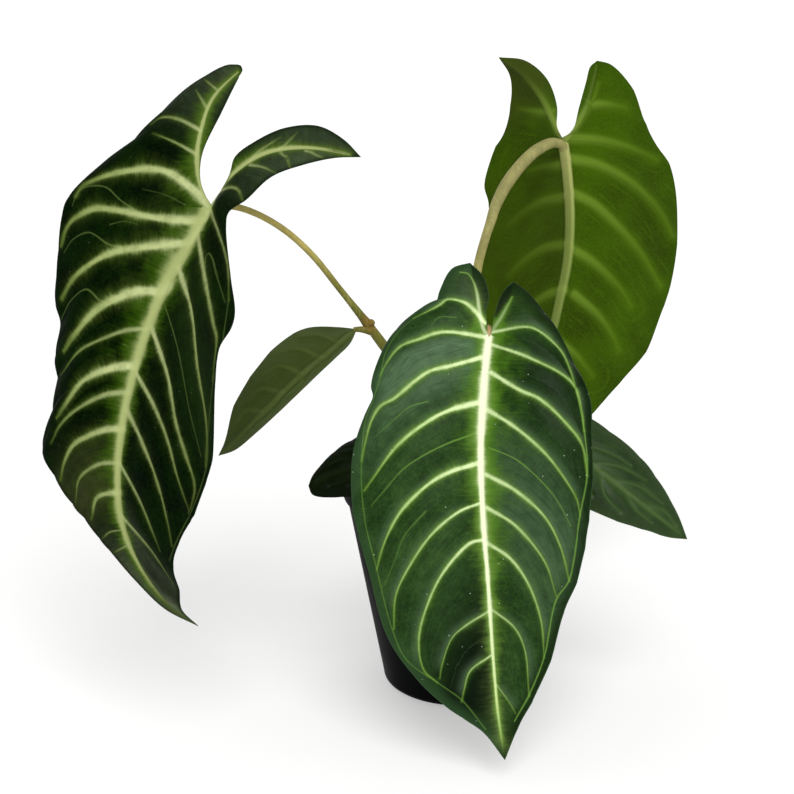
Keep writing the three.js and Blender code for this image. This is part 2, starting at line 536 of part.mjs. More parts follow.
// The mix lies a little higher round the stem, and its surface is crumbly.
function soilSolid() {
  const inner = (z) => wallRadius(z) - pot.wall - gap;
  const rings = [0.3, 0.5, 0.7, 0.87];
  const profile = [
    [0, pot.floor + gap], [pot.baseRadius - pot.edge - gap, pot.floor + gap], [inner(pot.edge + 1), pot.edge + 1],
    [inner(soilTop), soilTop], ...rings.map((share) => [inner(soilTop) * share, soilTop]).reverse(), [0, soilTop],
  ];
  const geometry = turned(profile, 40);
  const place = geometry.attributes.position;
  for (let i = 0; i < place.count; i += 1) {
    const [x, y] = [place.getX(i), place.getY(i)];
    const out = Math.hypot(x, y) / inner(soilTop);
    if (place.getZ(i) > soilTop - 1 && out < 0.95) {
      const crumbs = Math.sin(0.31 * x + 1.3) * Math.cos(0.27 * y) + 0.6 * Math.sin(0.83 * x + 0.71 * y);
      place.setZ(i, soilTop + 1.2 * crumbs * Math.sin(Math.PI * out));
    }
  }
  return solid(geometry).subtract(cylinder(stem.radius + gap, stem.bottom - gap, soilTop + 20, 32));
}

function stemSolid() {
  const { radius, bottom, top } = stem;
  const profile = [
    [0, bottom], [radius - 4, bottom], [radius - 0.5, bottom + 5], [radius, soilTop - 4], [radius - 0.6, soilTop],
    [radius - 1.4, soilTop + 3], [radius - 3, top - 1.5], [radius - 6, top], [0, top + 0.6],
  ];
  const body = solid(turned(profile, 28));
  return Object.values(stalks).reduce((left, stalk) => left.subtract(
    cylinder(stalk.radii[0] + gap, stem.socketFloor, top + 5, 14, stalk.foot)), body);
}

const plant = new THREE.Group();

function addPiece(name, geometry, look) {
  const mesh = new THREE.Mesh(geometry, look.clone());
  mesh.name = name;
  plant.add(mesh);
}

addPiece("pot", geometryOf(potSolid()), materials.pot);
addPiece("soil", geometryOf(soilSolid()), materials.soil);
addPiece("stem", geometryOf(stemSolid()), materials.stem);
for (const name of Object.keys(blades)) {
  const look = blades[name].upperFace > 0 ? materials.upper : materials.under;
  addPiece(`${name}_blade`, geometryOf(solid(bladeGeometry(blades[name]))), look);
}
addPiece("left_stalk", geometryOf(largestPiece(clearOf(leftStalk(), "left", "side"))), materials.stalk);
for (const name of ["front", "back", "right", "low"]) {
  addPiece(`${name}_stalk`, geometryOf(largestPiece(clearOf(stalkSolid(name), name))), materials.stalk);
}

export default plant;
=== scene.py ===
# A young Xanthosoma lindenii in a nursery pot, dressed for the camera.
# Leaf data are in millimetres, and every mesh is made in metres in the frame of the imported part.
import math

import bmesh
import bpy
import numpy as np
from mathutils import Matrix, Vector
from mathutils.kdtree import KDTree


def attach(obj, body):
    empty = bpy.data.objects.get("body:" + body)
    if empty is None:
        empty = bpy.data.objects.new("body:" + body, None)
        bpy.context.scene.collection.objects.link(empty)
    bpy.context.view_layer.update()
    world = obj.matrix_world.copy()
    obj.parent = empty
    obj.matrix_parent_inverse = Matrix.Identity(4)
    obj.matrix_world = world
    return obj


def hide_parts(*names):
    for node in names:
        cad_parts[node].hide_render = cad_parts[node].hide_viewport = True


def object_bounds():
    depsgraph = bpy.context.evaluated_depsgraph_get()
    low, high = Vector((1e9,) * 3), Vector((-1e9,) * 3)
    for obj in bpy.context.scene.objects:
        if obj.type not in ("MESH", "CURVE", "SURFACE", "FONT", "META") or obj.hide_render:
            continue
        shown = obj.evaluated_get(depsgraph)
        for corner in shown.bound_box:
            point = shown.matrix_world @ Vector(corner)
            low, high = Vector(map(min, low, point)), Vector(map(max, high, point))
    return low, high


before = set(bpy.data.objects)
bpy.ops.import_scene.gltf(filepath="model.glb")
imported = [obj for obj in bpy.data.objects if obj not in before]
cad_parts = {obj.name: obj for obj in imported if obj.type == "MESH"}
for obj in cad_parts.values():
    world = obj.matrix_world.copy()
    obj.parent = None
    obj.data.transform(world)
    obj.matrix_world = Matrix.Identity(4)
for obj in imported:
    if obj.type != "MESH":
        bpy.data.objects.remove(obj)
cad_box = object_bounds()

MM = 0.001

# The eye of the photograph, and the plane square to its line of sight
EYE = np.array([-35.6, -1026.0, 478.0])
TILT = math.radians(17)
SIGHT = np.array([0.0, math.cos(TILT), -math.sin(TILT)])
UP = np.array([0.0, math.sin(TILT), math.cos(TILT)])

# Each blade: points are [across, down, rise] in mm from where its stalk joins it. Margin points have their
# vein position in front: -1 tip of the basal lobe, 0 stalk, 1 tip of the leaf. The veins are the positions
# of the side veins, the bow is how far they curve, and upperFace is 1 where the upper side is seen.
BLADES = {
    "front": {
        "junction": [10.4, -68.1, 216.5], "upperFace": 1,
        "midrib": [[0, 0, 0], [-2, 19, 3], [-4, 56.5, 8], [-3, 89, 10], [-0.5, 121.5, 9], [2, 159, 6],
            [4.5, 187.5, 3], [8, 211.5, 0]],
        "left": {
            "bow": 0.11, "veins": [-0.6, -0.26, 0, 0.05, 0.153, 0.228, 0.296, 0.393, 0.477, 0.645, 0.751],
            "basal": [[0, 0, 0], [-4.5, -9.5, 0], [-7, -20, -2], [-9.5, -37, -8]],
            "sinus": [[-0.9, -0.5, -1], [-1.2, -13.5, -2], [0, -20, -4], [-3, -30.5, -8], [-9.5, -37, -8]],
            "margin": [[-1, -9.5, -37, -8], [-0.85, -18.5, -34, -9], [-0.66, -24.5, -23.5, -8],
                [-0.52, -27.5, -15.5, -7], [-0.38, -38.5, -10.5, -6], [-0.26, -46.5, -4, -5],
                [-0.12, -54.5, 10, -1], [0, -59, 24, 2], [0.03, -58, 30, 3], [0.05, -61.5, 37.5, 4],
                [0.095, -68, 58, 5], [0.153, -68.5, 83, 6], [0.228, -65.5, 98, 7], [0.296, -60, 118, 7],
                [0.393, -51, 149.5, 6], [0.477, -37.5, 169.5, 5], [0.645, -22.5, 184, 4],
                [0.751, -12.5, 191, 3], [0.88, -2.5, 198, 1], [1, 8, 211.5, 0]],
        },
        "right": {
            "bow": 0.09, "veins": [-0.5, -0.15, 0.02, 0.085, 0.173, 0.26, 0.325, 0.402, 0.48, 0.645, 0.82],
            "basal": [[0, 0, 0], [5.5, -8.5, 0], [9, -16.5, -2], [12, -27.5, -7]],
            "sinus": [[0.9, -0.5, -1], [2.5, -10, -1], [5.5, -20, -4], [8.5, -24.5, -6], [12, -27.5, -7]],
            "margin": [[-1, 12, -27.5, -7], [-0.82, 18.5, -23, -5], [-0.56, 26, -14.5, -2],
                [-0.35, 33.5, -4.5, 2], [-0.15, 43, 14, 8], [0.02, 50.5, 30.5, 13], [0.05, 51.5, 49, 17],
                [0.085, 52, 70.5, 20], [0.173, 50, 91.5, 20], [0.26, 48, 105.5, 19], [0.325, 44, 122.5, 17],
                [0.402, 37.5, 137.5, 15], [0.48, 31, 161.5, 12], [0.645, 21.5, 182.5, 8],
                [0.82, 14.5, 195.5, 4], [1, 8, 211.5, 0]],
        },
    },
    "left": {
        "junction": [-128.6, -49.2, 278.2], "upperFace": 1,
        "midrib": [[0, 0, 0], [-10.5, 19, 3], [-21.5, 37.5, 6], [-30.5, 58.5, 8], [-36.5, 77, 9],
            [-42.5, 101, 9], [-46, 128.5, 8], [-45, 153.5, 6], [-39, 172, 4], [-28, 190, 2], [-17.5, 201, 1],
            [-6.5, 209, 0]],
        "left": {
            "bow": 0.16, "veins": [-0.8, -0.6, -0.4, -0.06, 0.02, 0.08, 0.2, 0.295, 0.37, 0.437, 0.515, 0.59,
                0.652, 0.736, 0.78],
            "basal": [[0, 0, 0], [-5.5, -13, 0], [-7, -25, -2], [-5, -39, -5], [1, -55, -9],
                [17.2, -71.5, -14]],
            "sinus": [[0, -1.5, -1], [-3.5, -7.5, 0], [-5.5, -15, -1], [-4.2, -27.5, -3], [5.4, -48, -8],
                [13.3, -64, -13], [17.2, -71.5, -14]],
            "margin": [[-1, 17.2, -71.5, -14], [-0.92, 8.5, -71.5, -15], [-0.8, -3, -66, -16],
                [-0.7, -13, -59, -17], [-0.55, -30.5, -42.5, -18], [-0.4, -39, -34, -18],
                [-0.22, -53.5, -22.5, -18], [-0.06, -71.5, -5.5, -18], [-0.02, -74.5, 5, -18],
                [0.02, -76.5, 21, -18], [0.05, -77, 33.5, -17], [0.08, -78, 47.5, -16], [0.13, -75, 58, -15],
                [0.2, -78, 73.5, -15], [0.295, -77, 85, -14], [0.37, -79.3, 103, -13],
                [0.386, -79.2, 107.2, -13], [0.411, -82.8, 113, -13], [0.437, -84.5, 119.5, -13],
                [0.465, -83.3, 125, -12], [0.515, -78.5, 134, -11], [0.59, -69.5, 148, -9],
                [0.652, -63.5, 155, -7], [0.736, -56, 165, -5], [0.78, -51, 171, -4], [0.87, -38, 186, -2],
                [0.94, -23, 200.5, 0], [1, -6.5, 209, 0]],
        },
        "right": {
            "bow": 0.03, "veins": [-0.75, -0.5, -0.3, 0, 0.06, 0.153, 0.24, 0.295, 0.39, 0.474, 0.59, 0.71],
            "basal": [[0, 0, 0], [5.5, -9, 3], [13.5, -18.5, 7], [27, -27, 11], [47, -30, 14],
                [75, -25.5, 12]],
            "sinus": [[0, -1.5, -1], [3.5, -6.5, 2], [9, -16, 6], [12, -25.5, 5], [22.5, -33.5, 7],
                [37, -40, 9], [53.5, -41, 11], [66, -34.5, 12], [75, -25.5, 12]],
            "margin": [[-1, 75, -25.5, 12], [-0.85, 62, -25, 15], [-0.68, 46, -21.5, 19],
                [-0.5, 30, -15.5, 22], [-0.33, 18, -4.5, 24], [-0.15, 9, 2, 27], [-0.08, 7.5, 9, 32],
                [0, 9.5, 33.5, 44], [0.025, 12, 52.5, 54], [0.0326, 10.2, 60, 56], [0.043, 4.6, 69, 57.5],
                [0.05, 2.9, 76, 58], [0.06, 2, 86, 58], [0.153, 0.5, 126, 52], [0.24, -3, 138.5, 47],
                [0.295, -8.5, 153.5, 42], [0.39, -10.5, 157, 38], [0.474, -16.5, 168.5, 30],
                [0.59, -19, 179.5, 22], [0.71, -16, 191, 13], [0.85, -14.5, 201, 5], [1, -6.5, 209, 0]],
        },
    },
    "back": {
        "junction": [61.4, 126.9, 281.4], "upperFace": -1,
        "midrib": [[0, 0, 0], [2.5, 19.5, 1], [4, 45.5, 2], [2.5, 70, 2], [-2, 92.5, 1], [-8, 118.5, 0],
            [-17, 148, -1], [-32, 190.5, -2]],
        "left": {
            "bow": 0.1, "veins": [-0.6, -0.3, 0.03, 0.12, 0.25, 0.42, 0.6, 0.8],
            "basal": [[0, 0, 0], [-6, -13, -1], [-13, -26.5, -4], [-21.5, -37.5, -8], [-37.5, -49.5, -14]],
            "sinus": [[-0.5, -2.5, 0], [-3.5, -9, 0], [-3.5, -21, -2], [-9.5, -37, -6], [-22, -47.5, -10],
                [-37.5, -49.5, -14]],
            "margin": [[-1, -37.5, -49.5, -14], [-0.82, -31, -38.5, -17], [-0.6, -30.5, -21, -22],
                [-0.4, -35, -4.5, -27], [-0.2, -42.5, 10.5, -32], [-0.05, -46, 25.5, -36],
                [0.03, -43, 37.5, -38], [0.12, -47.5, 60, -40], [0.25, -52, 86.5, -38],
                [0.42, -52.5, 118.5, -32], [0.6, -49.5, 148, -24], [0.8, -42.5, 173, -12],
                [1, -32, 190.5, -2]],
        },
        "right": {
            "bow": 0.1, "veins": [-0.6, -0.35, -0.03, 0.053, 0.155, 0.32, 0.46, 0.6, 0.8],
            "basal": [[0, 0, 0], [7, -9.5, 0], [13, -21, -1], [17, -34, -3], [20, -47.5, -6]],
            "sinus": [[-0.5, -2.5, 0], [5.5, -6.5, 1], [9.5, -20.5, 0], [13.5, -35, -2], [16, -44, -4],
                [20, -47.5, -6]],
            "margin": [[-1, 20, -47.5, -6], [-0.85, 28.5, -45, -8], [-0.6, 41, -30.5, -11],
                [-0.35, 48.5, -10, -13], [-0.15, 55, 2, -14], [-0.03, 62, 13, -15], [0.01, 66, 28, -15],
                [0.053, 66.5, 60, -15], [0.1, 63, 84, -15], [0.155, 59, 95.5, -14], [0.32, 48.5, 122.5, -13],
                [0.46, 32.5, 141.5, -11], [0.6, 16, 160, -9], [0.8, -4, 176.5, -6], [1, -32, 190.5, -2]],
        },
    },
    "right": {
        "junction": [37.9, -26.1, 157.4], "upperFace": 1,
        "midrib": [[0, 0, 0], [16, 11.5, 2], [36, 26.5, 4], [57.5, 43.5, 3], [80, 61, 0]],
        "left": {
            "bow": 0.1, "veins": [-0.5, -0.1, 0.1, 0.27, 0.45, 0.62, 0.8],
            "basal": [[0, 0, 0], [-7.5, 0.5, -1], [-16.5, 3, -4]],
            "sinus": [[-2, -1.5, 0], [-8.5, -2.5, -1], [-16.5, 3, -4]],
            "margin": [[-1, -16.5, 3, -4], [-0.6, -14, 12, -2], [-0.2, -5.5, 23.5, 2], [0.05, 6.5, 33, 5],
                [0.25, 20.5, 41.5, 7], [0.45, 43, 51.5, 7], [0.7, 60.5, 57, 5], [0.88, 70, 60, 2],
                [1, 80, 61, 0]],
        },
        "right": {
            "bow": 0.1, "veins": [-0.5, -0.1, 0.1, 0.27, 0.45, 0.62, 0.8],
            "basal": [[0, 0, 0], [-3, -7.5, -2], [-6.5, -16.5, -6]],
            "sinus": [[-2, -1.5, 0], [-6.5, -7.5, -2], [-6.5, -16.5, -6]],
            "margin": [[-1, -6.5, -16.5, -6], [-0.6, 2.5, -17, -7], [-0.2, 12.5, -12, -8],
                [0.05, 21.5, -7, -8], [0.25, 37, 2.5, -8], [0.45, 55, 17.5, -7], [0.7, 67, 33.5, -5],
                [0.88, 75, 48, -2], [1, 80, 61, 0]],
        },
    },
    "low": {
        "junction": [-12.9, -30.1, 144.2], "upperFace": 1,
        "midrib": [[0, 0, 0], [-18.5, 2.5, 3], [-39.5, 7.5, 4], [-57, 13, 2], [-69.5, 19, 0]],
        "left": {
            "bow": 0.1, "veins": [-0.5, -0.05, 0.15, 0.32, 0.5, 0.68, 0.85],
            "basal": [[0, 0, 0], [6, -6, -2], [10.5, -14, -6]],
            "sinus": [[1.5, 0, 0], [8, -6, -2], [10.5, -14, -6]],
            "margin": [[-1, 10.5, -14, -6], [-0.5, 1.5, -16, -8], [-0.1, -13, -15.5, -10],
                [0.2, -28.5, -12, -11], [0.45, -44, -6.5, -10], [0.65, -54, -0.5, -7], [0.82, -62, 7, -4],
                [0.93, -67.5, 14, -1], [1, -69.5, 19, 0]],
        },
        "right": {
            "bow": 0.1, "veins": [-0.5, -0.05, 0.15, 0.32, 0.5, 0.68, 0.85],
            "basal": [[0, 0, 0], [6, 3.5, 0], [12, 9.5, 0]],
            "sinus": [[1.5, 0, 0], [8, 2, 0], [12, 9.5, 0]],
            "margin": [[-1, 12, 9.5, 0], [-0.5, 5, 17, 4], [-0.1, -8.5, 20.5, 7], [0.2, -25.5, 22.5, 8],
                [0.45, -43.5, 24.5, 7], [0.65, -54, 25, 5], [0.82, -62.5, 25, 3], [0.93, -67.5, 23.5, 1],
                [1, -69.5, 19, 0]],
        },
    },
    "side": {
        "junction": [-56.6, -21, 208], "upperFace": -1,
        "midrib": [[0, 0, 0], [-14, 12, 2], [-30, 25, 3], [-48, 42.5, 3], [-64, 58.5, 1], [-72.5, 66.5, 0]],
        "left": {
            "bow": 0.1, "veins": [0.1, 0.25, 0.4, 0.55, 0.7, 0.85],
            "margin": [[0, 0, 0, 0], [0.08, -10.5, -1, -1], [0.2, -26.5, -0.5, -3], [0.33, -40, 7, -5],
                [0.5, -52.5, 20.5, -6], [0.7, -64.5, 40.5, -5], [0.87, -69, 58.5, -2], [1, -72.5, 66.5, 0]],
        },
        "right": {
            "bow": 0.1, "veins": [0.1, 0.25, 0.4, 0.55, 0.7, 0.85],
            "margin": [[0, 0, 0, 0], [0.08, -3.5, 7.5, 1], [0.2, -11, 15, 2], [0.33, -20.5, 24, 2],
                [0.5, -35, 38, 2], [0.7, -50, 52, 1], [0.87, -64, 63.5, 0], [1, -72.5, 66.5, 0]],
        },
    },
}

# Veins of each blade by kind: half width in mm at the start and at the end, then (across, down) points.
# A collective vein, along the margin, keeps one half width.
VEINS = {
    ("front", "main"): [
        (1.3, 0.5, [(-2.5, -7.5), (-7.5, -13.5), (-12, -17), (-17, -18.5), (-21, -18.5), (-24.5, -16),
            (-37, -9.5)]),
        (1.4, 0.45, [(-2, 0), (-19.5, -2.5), (-26, -2), (-34.5, 1), (-44.5, 5), (-52, 14.5), (-54, 19)]),
        (1.5, 0.45, [(-3, 10), (-19.5, 14.5), (-29.5, 17), (-37, 22), (-47, 30.5), (-54, 34.5),
            (-58.5, 41.5), (-61.5, 51.5), (-63.5, 61.5)]),
        (1.6, 0.45, [(-4.5, 32.5), (-19.5, 36.5), (-29.5, 41.5), (-45.5, 54), (-58.5, 71.5), (-62, 76.5)]),
        (1.4, 0.45, [(-5.5, 63), (-19.5, 67.5), (-29.5, 73), (-43.5, 86.5), (-49.5, 96.5), (-53.5, 106.5),
            (-56, 116)]),
        (1.0, 0.4, [(-5.5, 83.5), (-14.5, 87), (-28, 98), (-38.5, 112.5), (-46.5, 129), (-47.5, 145.5)]),
        (1.0, 0.4, [(-3.5, 101.5), (-9.5, 103), (-22, 116.5), (-29.5, 130.5), (-35, 150.5), (-32.5, 166.5),
            (-26, 172.5)]),
        (0.6, 0.35, [(0, 137), (-12, 144.5), (-18.5, 150.5), (-23.5, 164), (-24.5, 170)]),
        (0.7, 0.35, [(0.5, 159.5), (-9.5, 167), (-12.5, 176.5), (-13.5, 181.5)]),
        (0.9, 0.5, [(2.5, -2.5), (18, -5), (24, -3.5), (35.5, 6.5), (40.5, 16.5), (43.5, 26.5)]),
        (1.1, 0.5, [(2, 4), (20.5, 10.5), (41.5, 23), (46.5, 37.5), (47.5, 46.5)]),
        (1.4, 0.45, [(1.5, 18), (15.5, 26.5), (25.5, 31), (38, 42.5), (46.5, 54), (49, 69)]),
        (1.3, 0.4, [(-0.5, 36.5), (13, 45), (28, 58), (39, 72.5), (44, 81.5), (45.5, 89)]),
        (1.2, 0.4, [(-1, 69), (13, 76.5), (28, 90), (36, 105.5), (40, 121.5)]),
        (1.1, 0.35, [(-0.5, 85.5), (13, 94), (28, 112.5), (33.5, 129)]),
        (1.1, 0.35, [(0, 103.5), (10.5, 110.5), (19.5, 123), (26, 141.5), (27.5, 160)]),
        (0.7, 0.35, [(2, 136.5), (13, 145.5), (18, 156.5), (20, 179)]),
        (0.5, 0.3, [(4, 174), (10.5, 183), (13, 187.5)]),
    ],
    ("front", "fine"): [
        (0.5, 0.25, [(-5, 47.5), (-24.5, 55), (-42, 65.5), (-52, 76.5), (-58.5, 84)]),
        (0.35, 0.2, [(-31, 32.5), (-39.5, 35), (-49.5, 43.5), (-57, 50)]),
        (0.5, 0.25, [(0.5, 55.5), (14, 61.5), (29.5, 75.5), (36.5, 85.5), (40.5, 94)]),
        (0.3, 0.2, [(-32, 87.5), (-42, 99), (-47, 111.5), (-52, 124)]),
        (0.3, 0.2, [(-17, -9.5), (-24.5, -9.5), (-28.5, -6)]),
    ],
    ("front", "collective"): [
        (0.08, [(-37, -9.5), (-45.5, -2), (-52, 9), (-54, 19), (-57.5, 30.5), (-61.5, 41.5), (-63.5, 59),
            (-63.5, 76.5), (-61.5, 94), (-56, 116), (-48.5, 145.5), (-41, 161.5), (-26, 172.5),
            (-13.5, 181.5), (-2, 195.5)]),
        (0.14, [(43.5, 26.5), (47.5, 46.5), (49, 69), (45.5, 89), (40, 121.5), (33.5, 131.5), (27.5, 160),
            (20, 179), (13, 191.5)]),
    ],
    ("left", "main"): [
        (0.95, 0.5, [(-5.8, -39), (-12, -42.5), (-19, -45), (-25, -45), (-29.5, -42)]),
        (0.6, 0.4, [(-2.5, -50.5), (-4.5, -54), (-7.2, -58.5)]),
        (0.55, 0.4, [(2.5, -59.5), (0, -61.5), (-3, -64)]),
        (0.9, 0.4, [(-8.5, -27.5), (-16.5, -32), (-22, -34.5), (-28.5, -37)]),
        (2.1, 0.9, [(-1, -2), (-3, -4), (-15.5, -14.5), (-23, -18.5), (-30.5, -19.5), (-50.5, -16.5),
            (-64.5, -10.5), (-67, -6.5)]),
        (2.1, 0.9, [(-1, 2.5), (-2, 5.5), (-23, 5.5), (-45.5, 1.5), (-58, 0.5), (-69, 6), (-72.5, 11),
            (-74.5, 18.5)]),
        (2.2, 1.1, [(-6, 11.5), (-10.5, 16.5), (-28, 19), (-49.5, 22.5), (-65.5, 32), (-70.5, 38),
            (-74, 44.5)]),
        (2.2, 1.1, [(-22, 40), (-25, 41.8), (-35.5, 41.5), (-55.5, 50), (-68, 63.5), (-73, 71)]),
        (0.95, 0.5, [(-32, 60.5), (-41, 61), (-50.5, 64), (-65.5, 71.5), (-74.5, 83)]),
        (1.95, 0.9, [(-38.5, 79), (-48, 79.8), (-63, 86), (-73, 99), (-76.5, 104.5)]),
        (1.05, 0.5, [(-41, 92), (-53, 93.5), (-68, 101.5), (-75.5, 109), (-79.5, 117)]),
        (1.4, 0.7, [(-43.5, 110.5), (-53, 111), (-68, 118), (-73, 126.5), (-75, 135.5)]),
        (0.9, 0.45, [(-46, 127.5), (-55.5, 128), (-65.5, 135), (-67.5, 146.5)]),
        (1.3, 0.6, [(-46, 142), (-56.5, 144.5), (-59.5, 155)]),
        (0.5, 0.35, [(-44.5, 161), (-50.5, 162), (-54, 165)]),
        (0.45, 0.35, [(-42.5, 169), (-48, 172)]),
        (1, 0.4, [(0, 1), (4.5, 13.5), (8.5, 28.5), (9, 46)]),
        (1.3, 0.45, [(-6.5, 12.5), (-3, 33.5), (1.5, 58.5), (3, 65), (2, 76), (1, 86)]),
        (1.3, 0.45, [(-16, 30), (-9.5, 51), (-6.5, 78.5), (-2, 110), (-2.5, 128.5)]),
        (1.2, 0.45, [(-29.5, 60), (-21.5, 83.5), (-17, 108.5), (-12, 125), (-8, 139.5), (-10.5, 152)]),
        (1.1, 0.4, [(-37, 83), (-28, 99.5), (-21.5, 116), (-16.5, 135), (-11, 151)]),
        (1, 0.4, [(-41.5, 101.5), (-34, 117.5), (-26.5, 137.5), (-21.5, 157.5), (-19.5, 168.5)]),
        (0.9, 0.4, [(-45.5, 127.5), (-35.5, 146), (-25.5, 171)]),
        (0.8, 0.35, [(-44, 154.5), (-30.5, 170), (-19, 187.5)]),
        (0.9, 0.5, [(5.5, -8.5), (9.5, -10), (13.5, -9), (15.5, -4.5)]),
        (0.7, 0.45, [(20, -21.2), (26, -20.2), (32, -17.5)]),
        (0.7, 0.5, [(34.5, -27), (37, -25.5), (38.5, -23), (39.5, -20)]),
        (0.6, 0.4, [(48, -28.2), (52, -27), (56, -24.5)]),
        (0.6, 0.4, [(19.5, -23.5), (23, -27.5), (28, -31), (34.5, -35)]),
        (0.5, 0.35, [(34, -29.5), (37, -31.5), (43, -37.5)]),
    ],
    ("left", "fine"): [
        (0.5, 0.3, [(-38, 1), (-44, -3), (-53, -10.5), (-65.5, -9), (-69, -1.5)]),
        (0.5, 0.3, [(-44.5, 19.5), (-50.5, 18.5), (-60.5, 12.5), (-69, 16), (-73, 22)]),
        (0.55, 0.3, [(-53, 47.5), (-55.5, 46), (-61.5, 41), (-69.5, 46), (-74.5, 55)]),
        (0.4, 0.25, [(-25.5, 43.5), (-23, 48.5), (-15.5, 71), (-9.5, 103.5), (-5, 123.5)]),
        (0.35, 0.2, [(-49.5, 8.5), (-43, 7), (-36.5, 8.5)]),
        (0.35, 0.2, [(-13, -1.5), (-23, -6.5), (-33, -9)]),
        (0.3, 0.2, [(-43, 68.5), (-38, 72), (-37, 77)]),
        (0.45, 0.25, [(-2.7, 30.2), (-1.7, 24.3), (0, 23.2), (1.7, 25.2), (3.2, 31.8), (5.3, 40.2),
            (7, 46.8)]),
    ],
    ("left", "collective"): [
        (0.12, [(9, 46), (5.5, 68.5), (1.5, 86), (-1, 110), (-2, 128.5), (-5.5, 141), (-10.5, 153.5),
            (-14.5, 161), (-18.5, 170), (-20.5, 176)]),
    ],
    ("back", "main"): [
        (1.6, 0.7, [(4, -2.5), (21.5, -1), (39, 3.5), (54, 10.5)]),
        (1.8, 0.7, [(3, 9.5), (18.5, 12.5), (33.5, 19.5), (45, 28), (56.5, 41), (63.5, 54.5)]),
        (1.7, 0.7, [(5.5, 30), (17, 35.5), (27.5, 44.5), (44, 63), (56.5, 83.5)]),
        (1.5, 0.6, [(4, 62), (16, 69), (27.5, 79.5), (34.5, 87.5), (39, 95.5)]),
        (1.2, 0.6, [(7, 89.5), (20, 101), (28.5, 113), (32, 121.5)]),
        (1.3, 0.6, [(-2, 13.5), (-10.5, 14.5), (-19.5, 17.5)]),
        (1.6, 0.7, [(2, 32), (-13.5, 35.5), (-23.5, 41.5), (-31, 48.5)]),
        (1.6, 0.7, [(2.5, 60), (-9, 61.5), (-16.5, 65), (-25, 71.5), (-31, 77.5)]),
        (1.3, 0.6, [(0, 86.5), (-10.5, 90), (-20.5, 98), (-26.5, 107)]),
        (1.2, 0.6, [(-7, 113), (-16.5, 118.5), (-24, 127.5)]),
        (1.3, 0.6, [(-3.5, -7), (-8, -17.5), (-13.5, -27.5), (-22, -36)]),
        (1.2, 0.5, [(-7.5, -17.5), (-16, -17.5), (-25, -18.5)]),
        (1.3, 0.6, [(7, -8), (13, -17.5), (17.5, -24.5), (20.5, -33.5)]),
        (1.1, 0.5, [(16, -22), (24.5, -22), (36, -20)]),
        (1, 0.5, [(-4, 115.5), (7, 124.5), (16, 136)]),
    ],
    ("right", "main"): [
        (0.6, 0.3, [(16, 11.5), (28.5, 12), (42, 17), (49.5, 22)]),
        (0.6, 0.3, [(28.5, 20.5), (43.5, 22.5), (57.5, 29.5)]),
        (0.6, 0.3, [(40, 29), (55, 33.5), (66.5, 42)]),
        (0.6, 0.3, [(34, 25.5), (36.5, 37.5), (44.5, 46.5)]),
        (0.6, 0.3, [(47, 35), (52, 44.5), (60.5, 52)]),
        (0.5, 0.3, [(55.5, 42), (68, 46.5), (73.5, 53.5)]),
        (0.5, 0.3, [(20.5, 15), (22, 27), (29.5, 37.5)]),
    ],
    ("low", "main"): [
        (0.5, 0.3, [(-13, 1.5), (-24, -5.5), (-37, -7.5)]),
        (0.5, 0.3, [(-29, 5), (-39.5, -1.5), (-50.5, -0.5)]),
        (0.5, 0.3, [(-42.5, 8), (-50.5, 4), (-58, 7)]),
        (0.5, 0.3, [(-24, 3.5), (-34.5, 13), (-47.5, 18.5)]),
        (0.5, 0.3, [(-39.5, 7.5), (-47.5, 15), (-58, 19)]),
    ],
    ("side", "main"): [
        (0.6, 0.3, [(-9, 7.5), (-20.5, 3), (-30, 4)]),
        (0.6, 0.3, [(-18.5, 15.5), (-31, 10.5), (-41.5, 12.5)]),
        (0.6, 0.3, [(-28.5, 24), (-40.5, 19.5), (-50, 24)]),
        (0.6, 0.3, [(-39.5, 33.5), (-50, 31.5), (-57.5, 36.5)]),
        (0.6, 0.3, [(-50, 43.5), (-58.5, 43), (-63.5, 48.5)]),
        (0.6, 0.3, [(-14, 12), (-17, 17.5), (-23.5, 23.5)]),
        (0.6, 0.3, [(-26.5, 22.5), (-30, 29.5), (-37, 36)]),
        (0.6, 0.3, [(-39.5, 33.5), (-43.5, 40), (-50, 46)]),
    ],
}

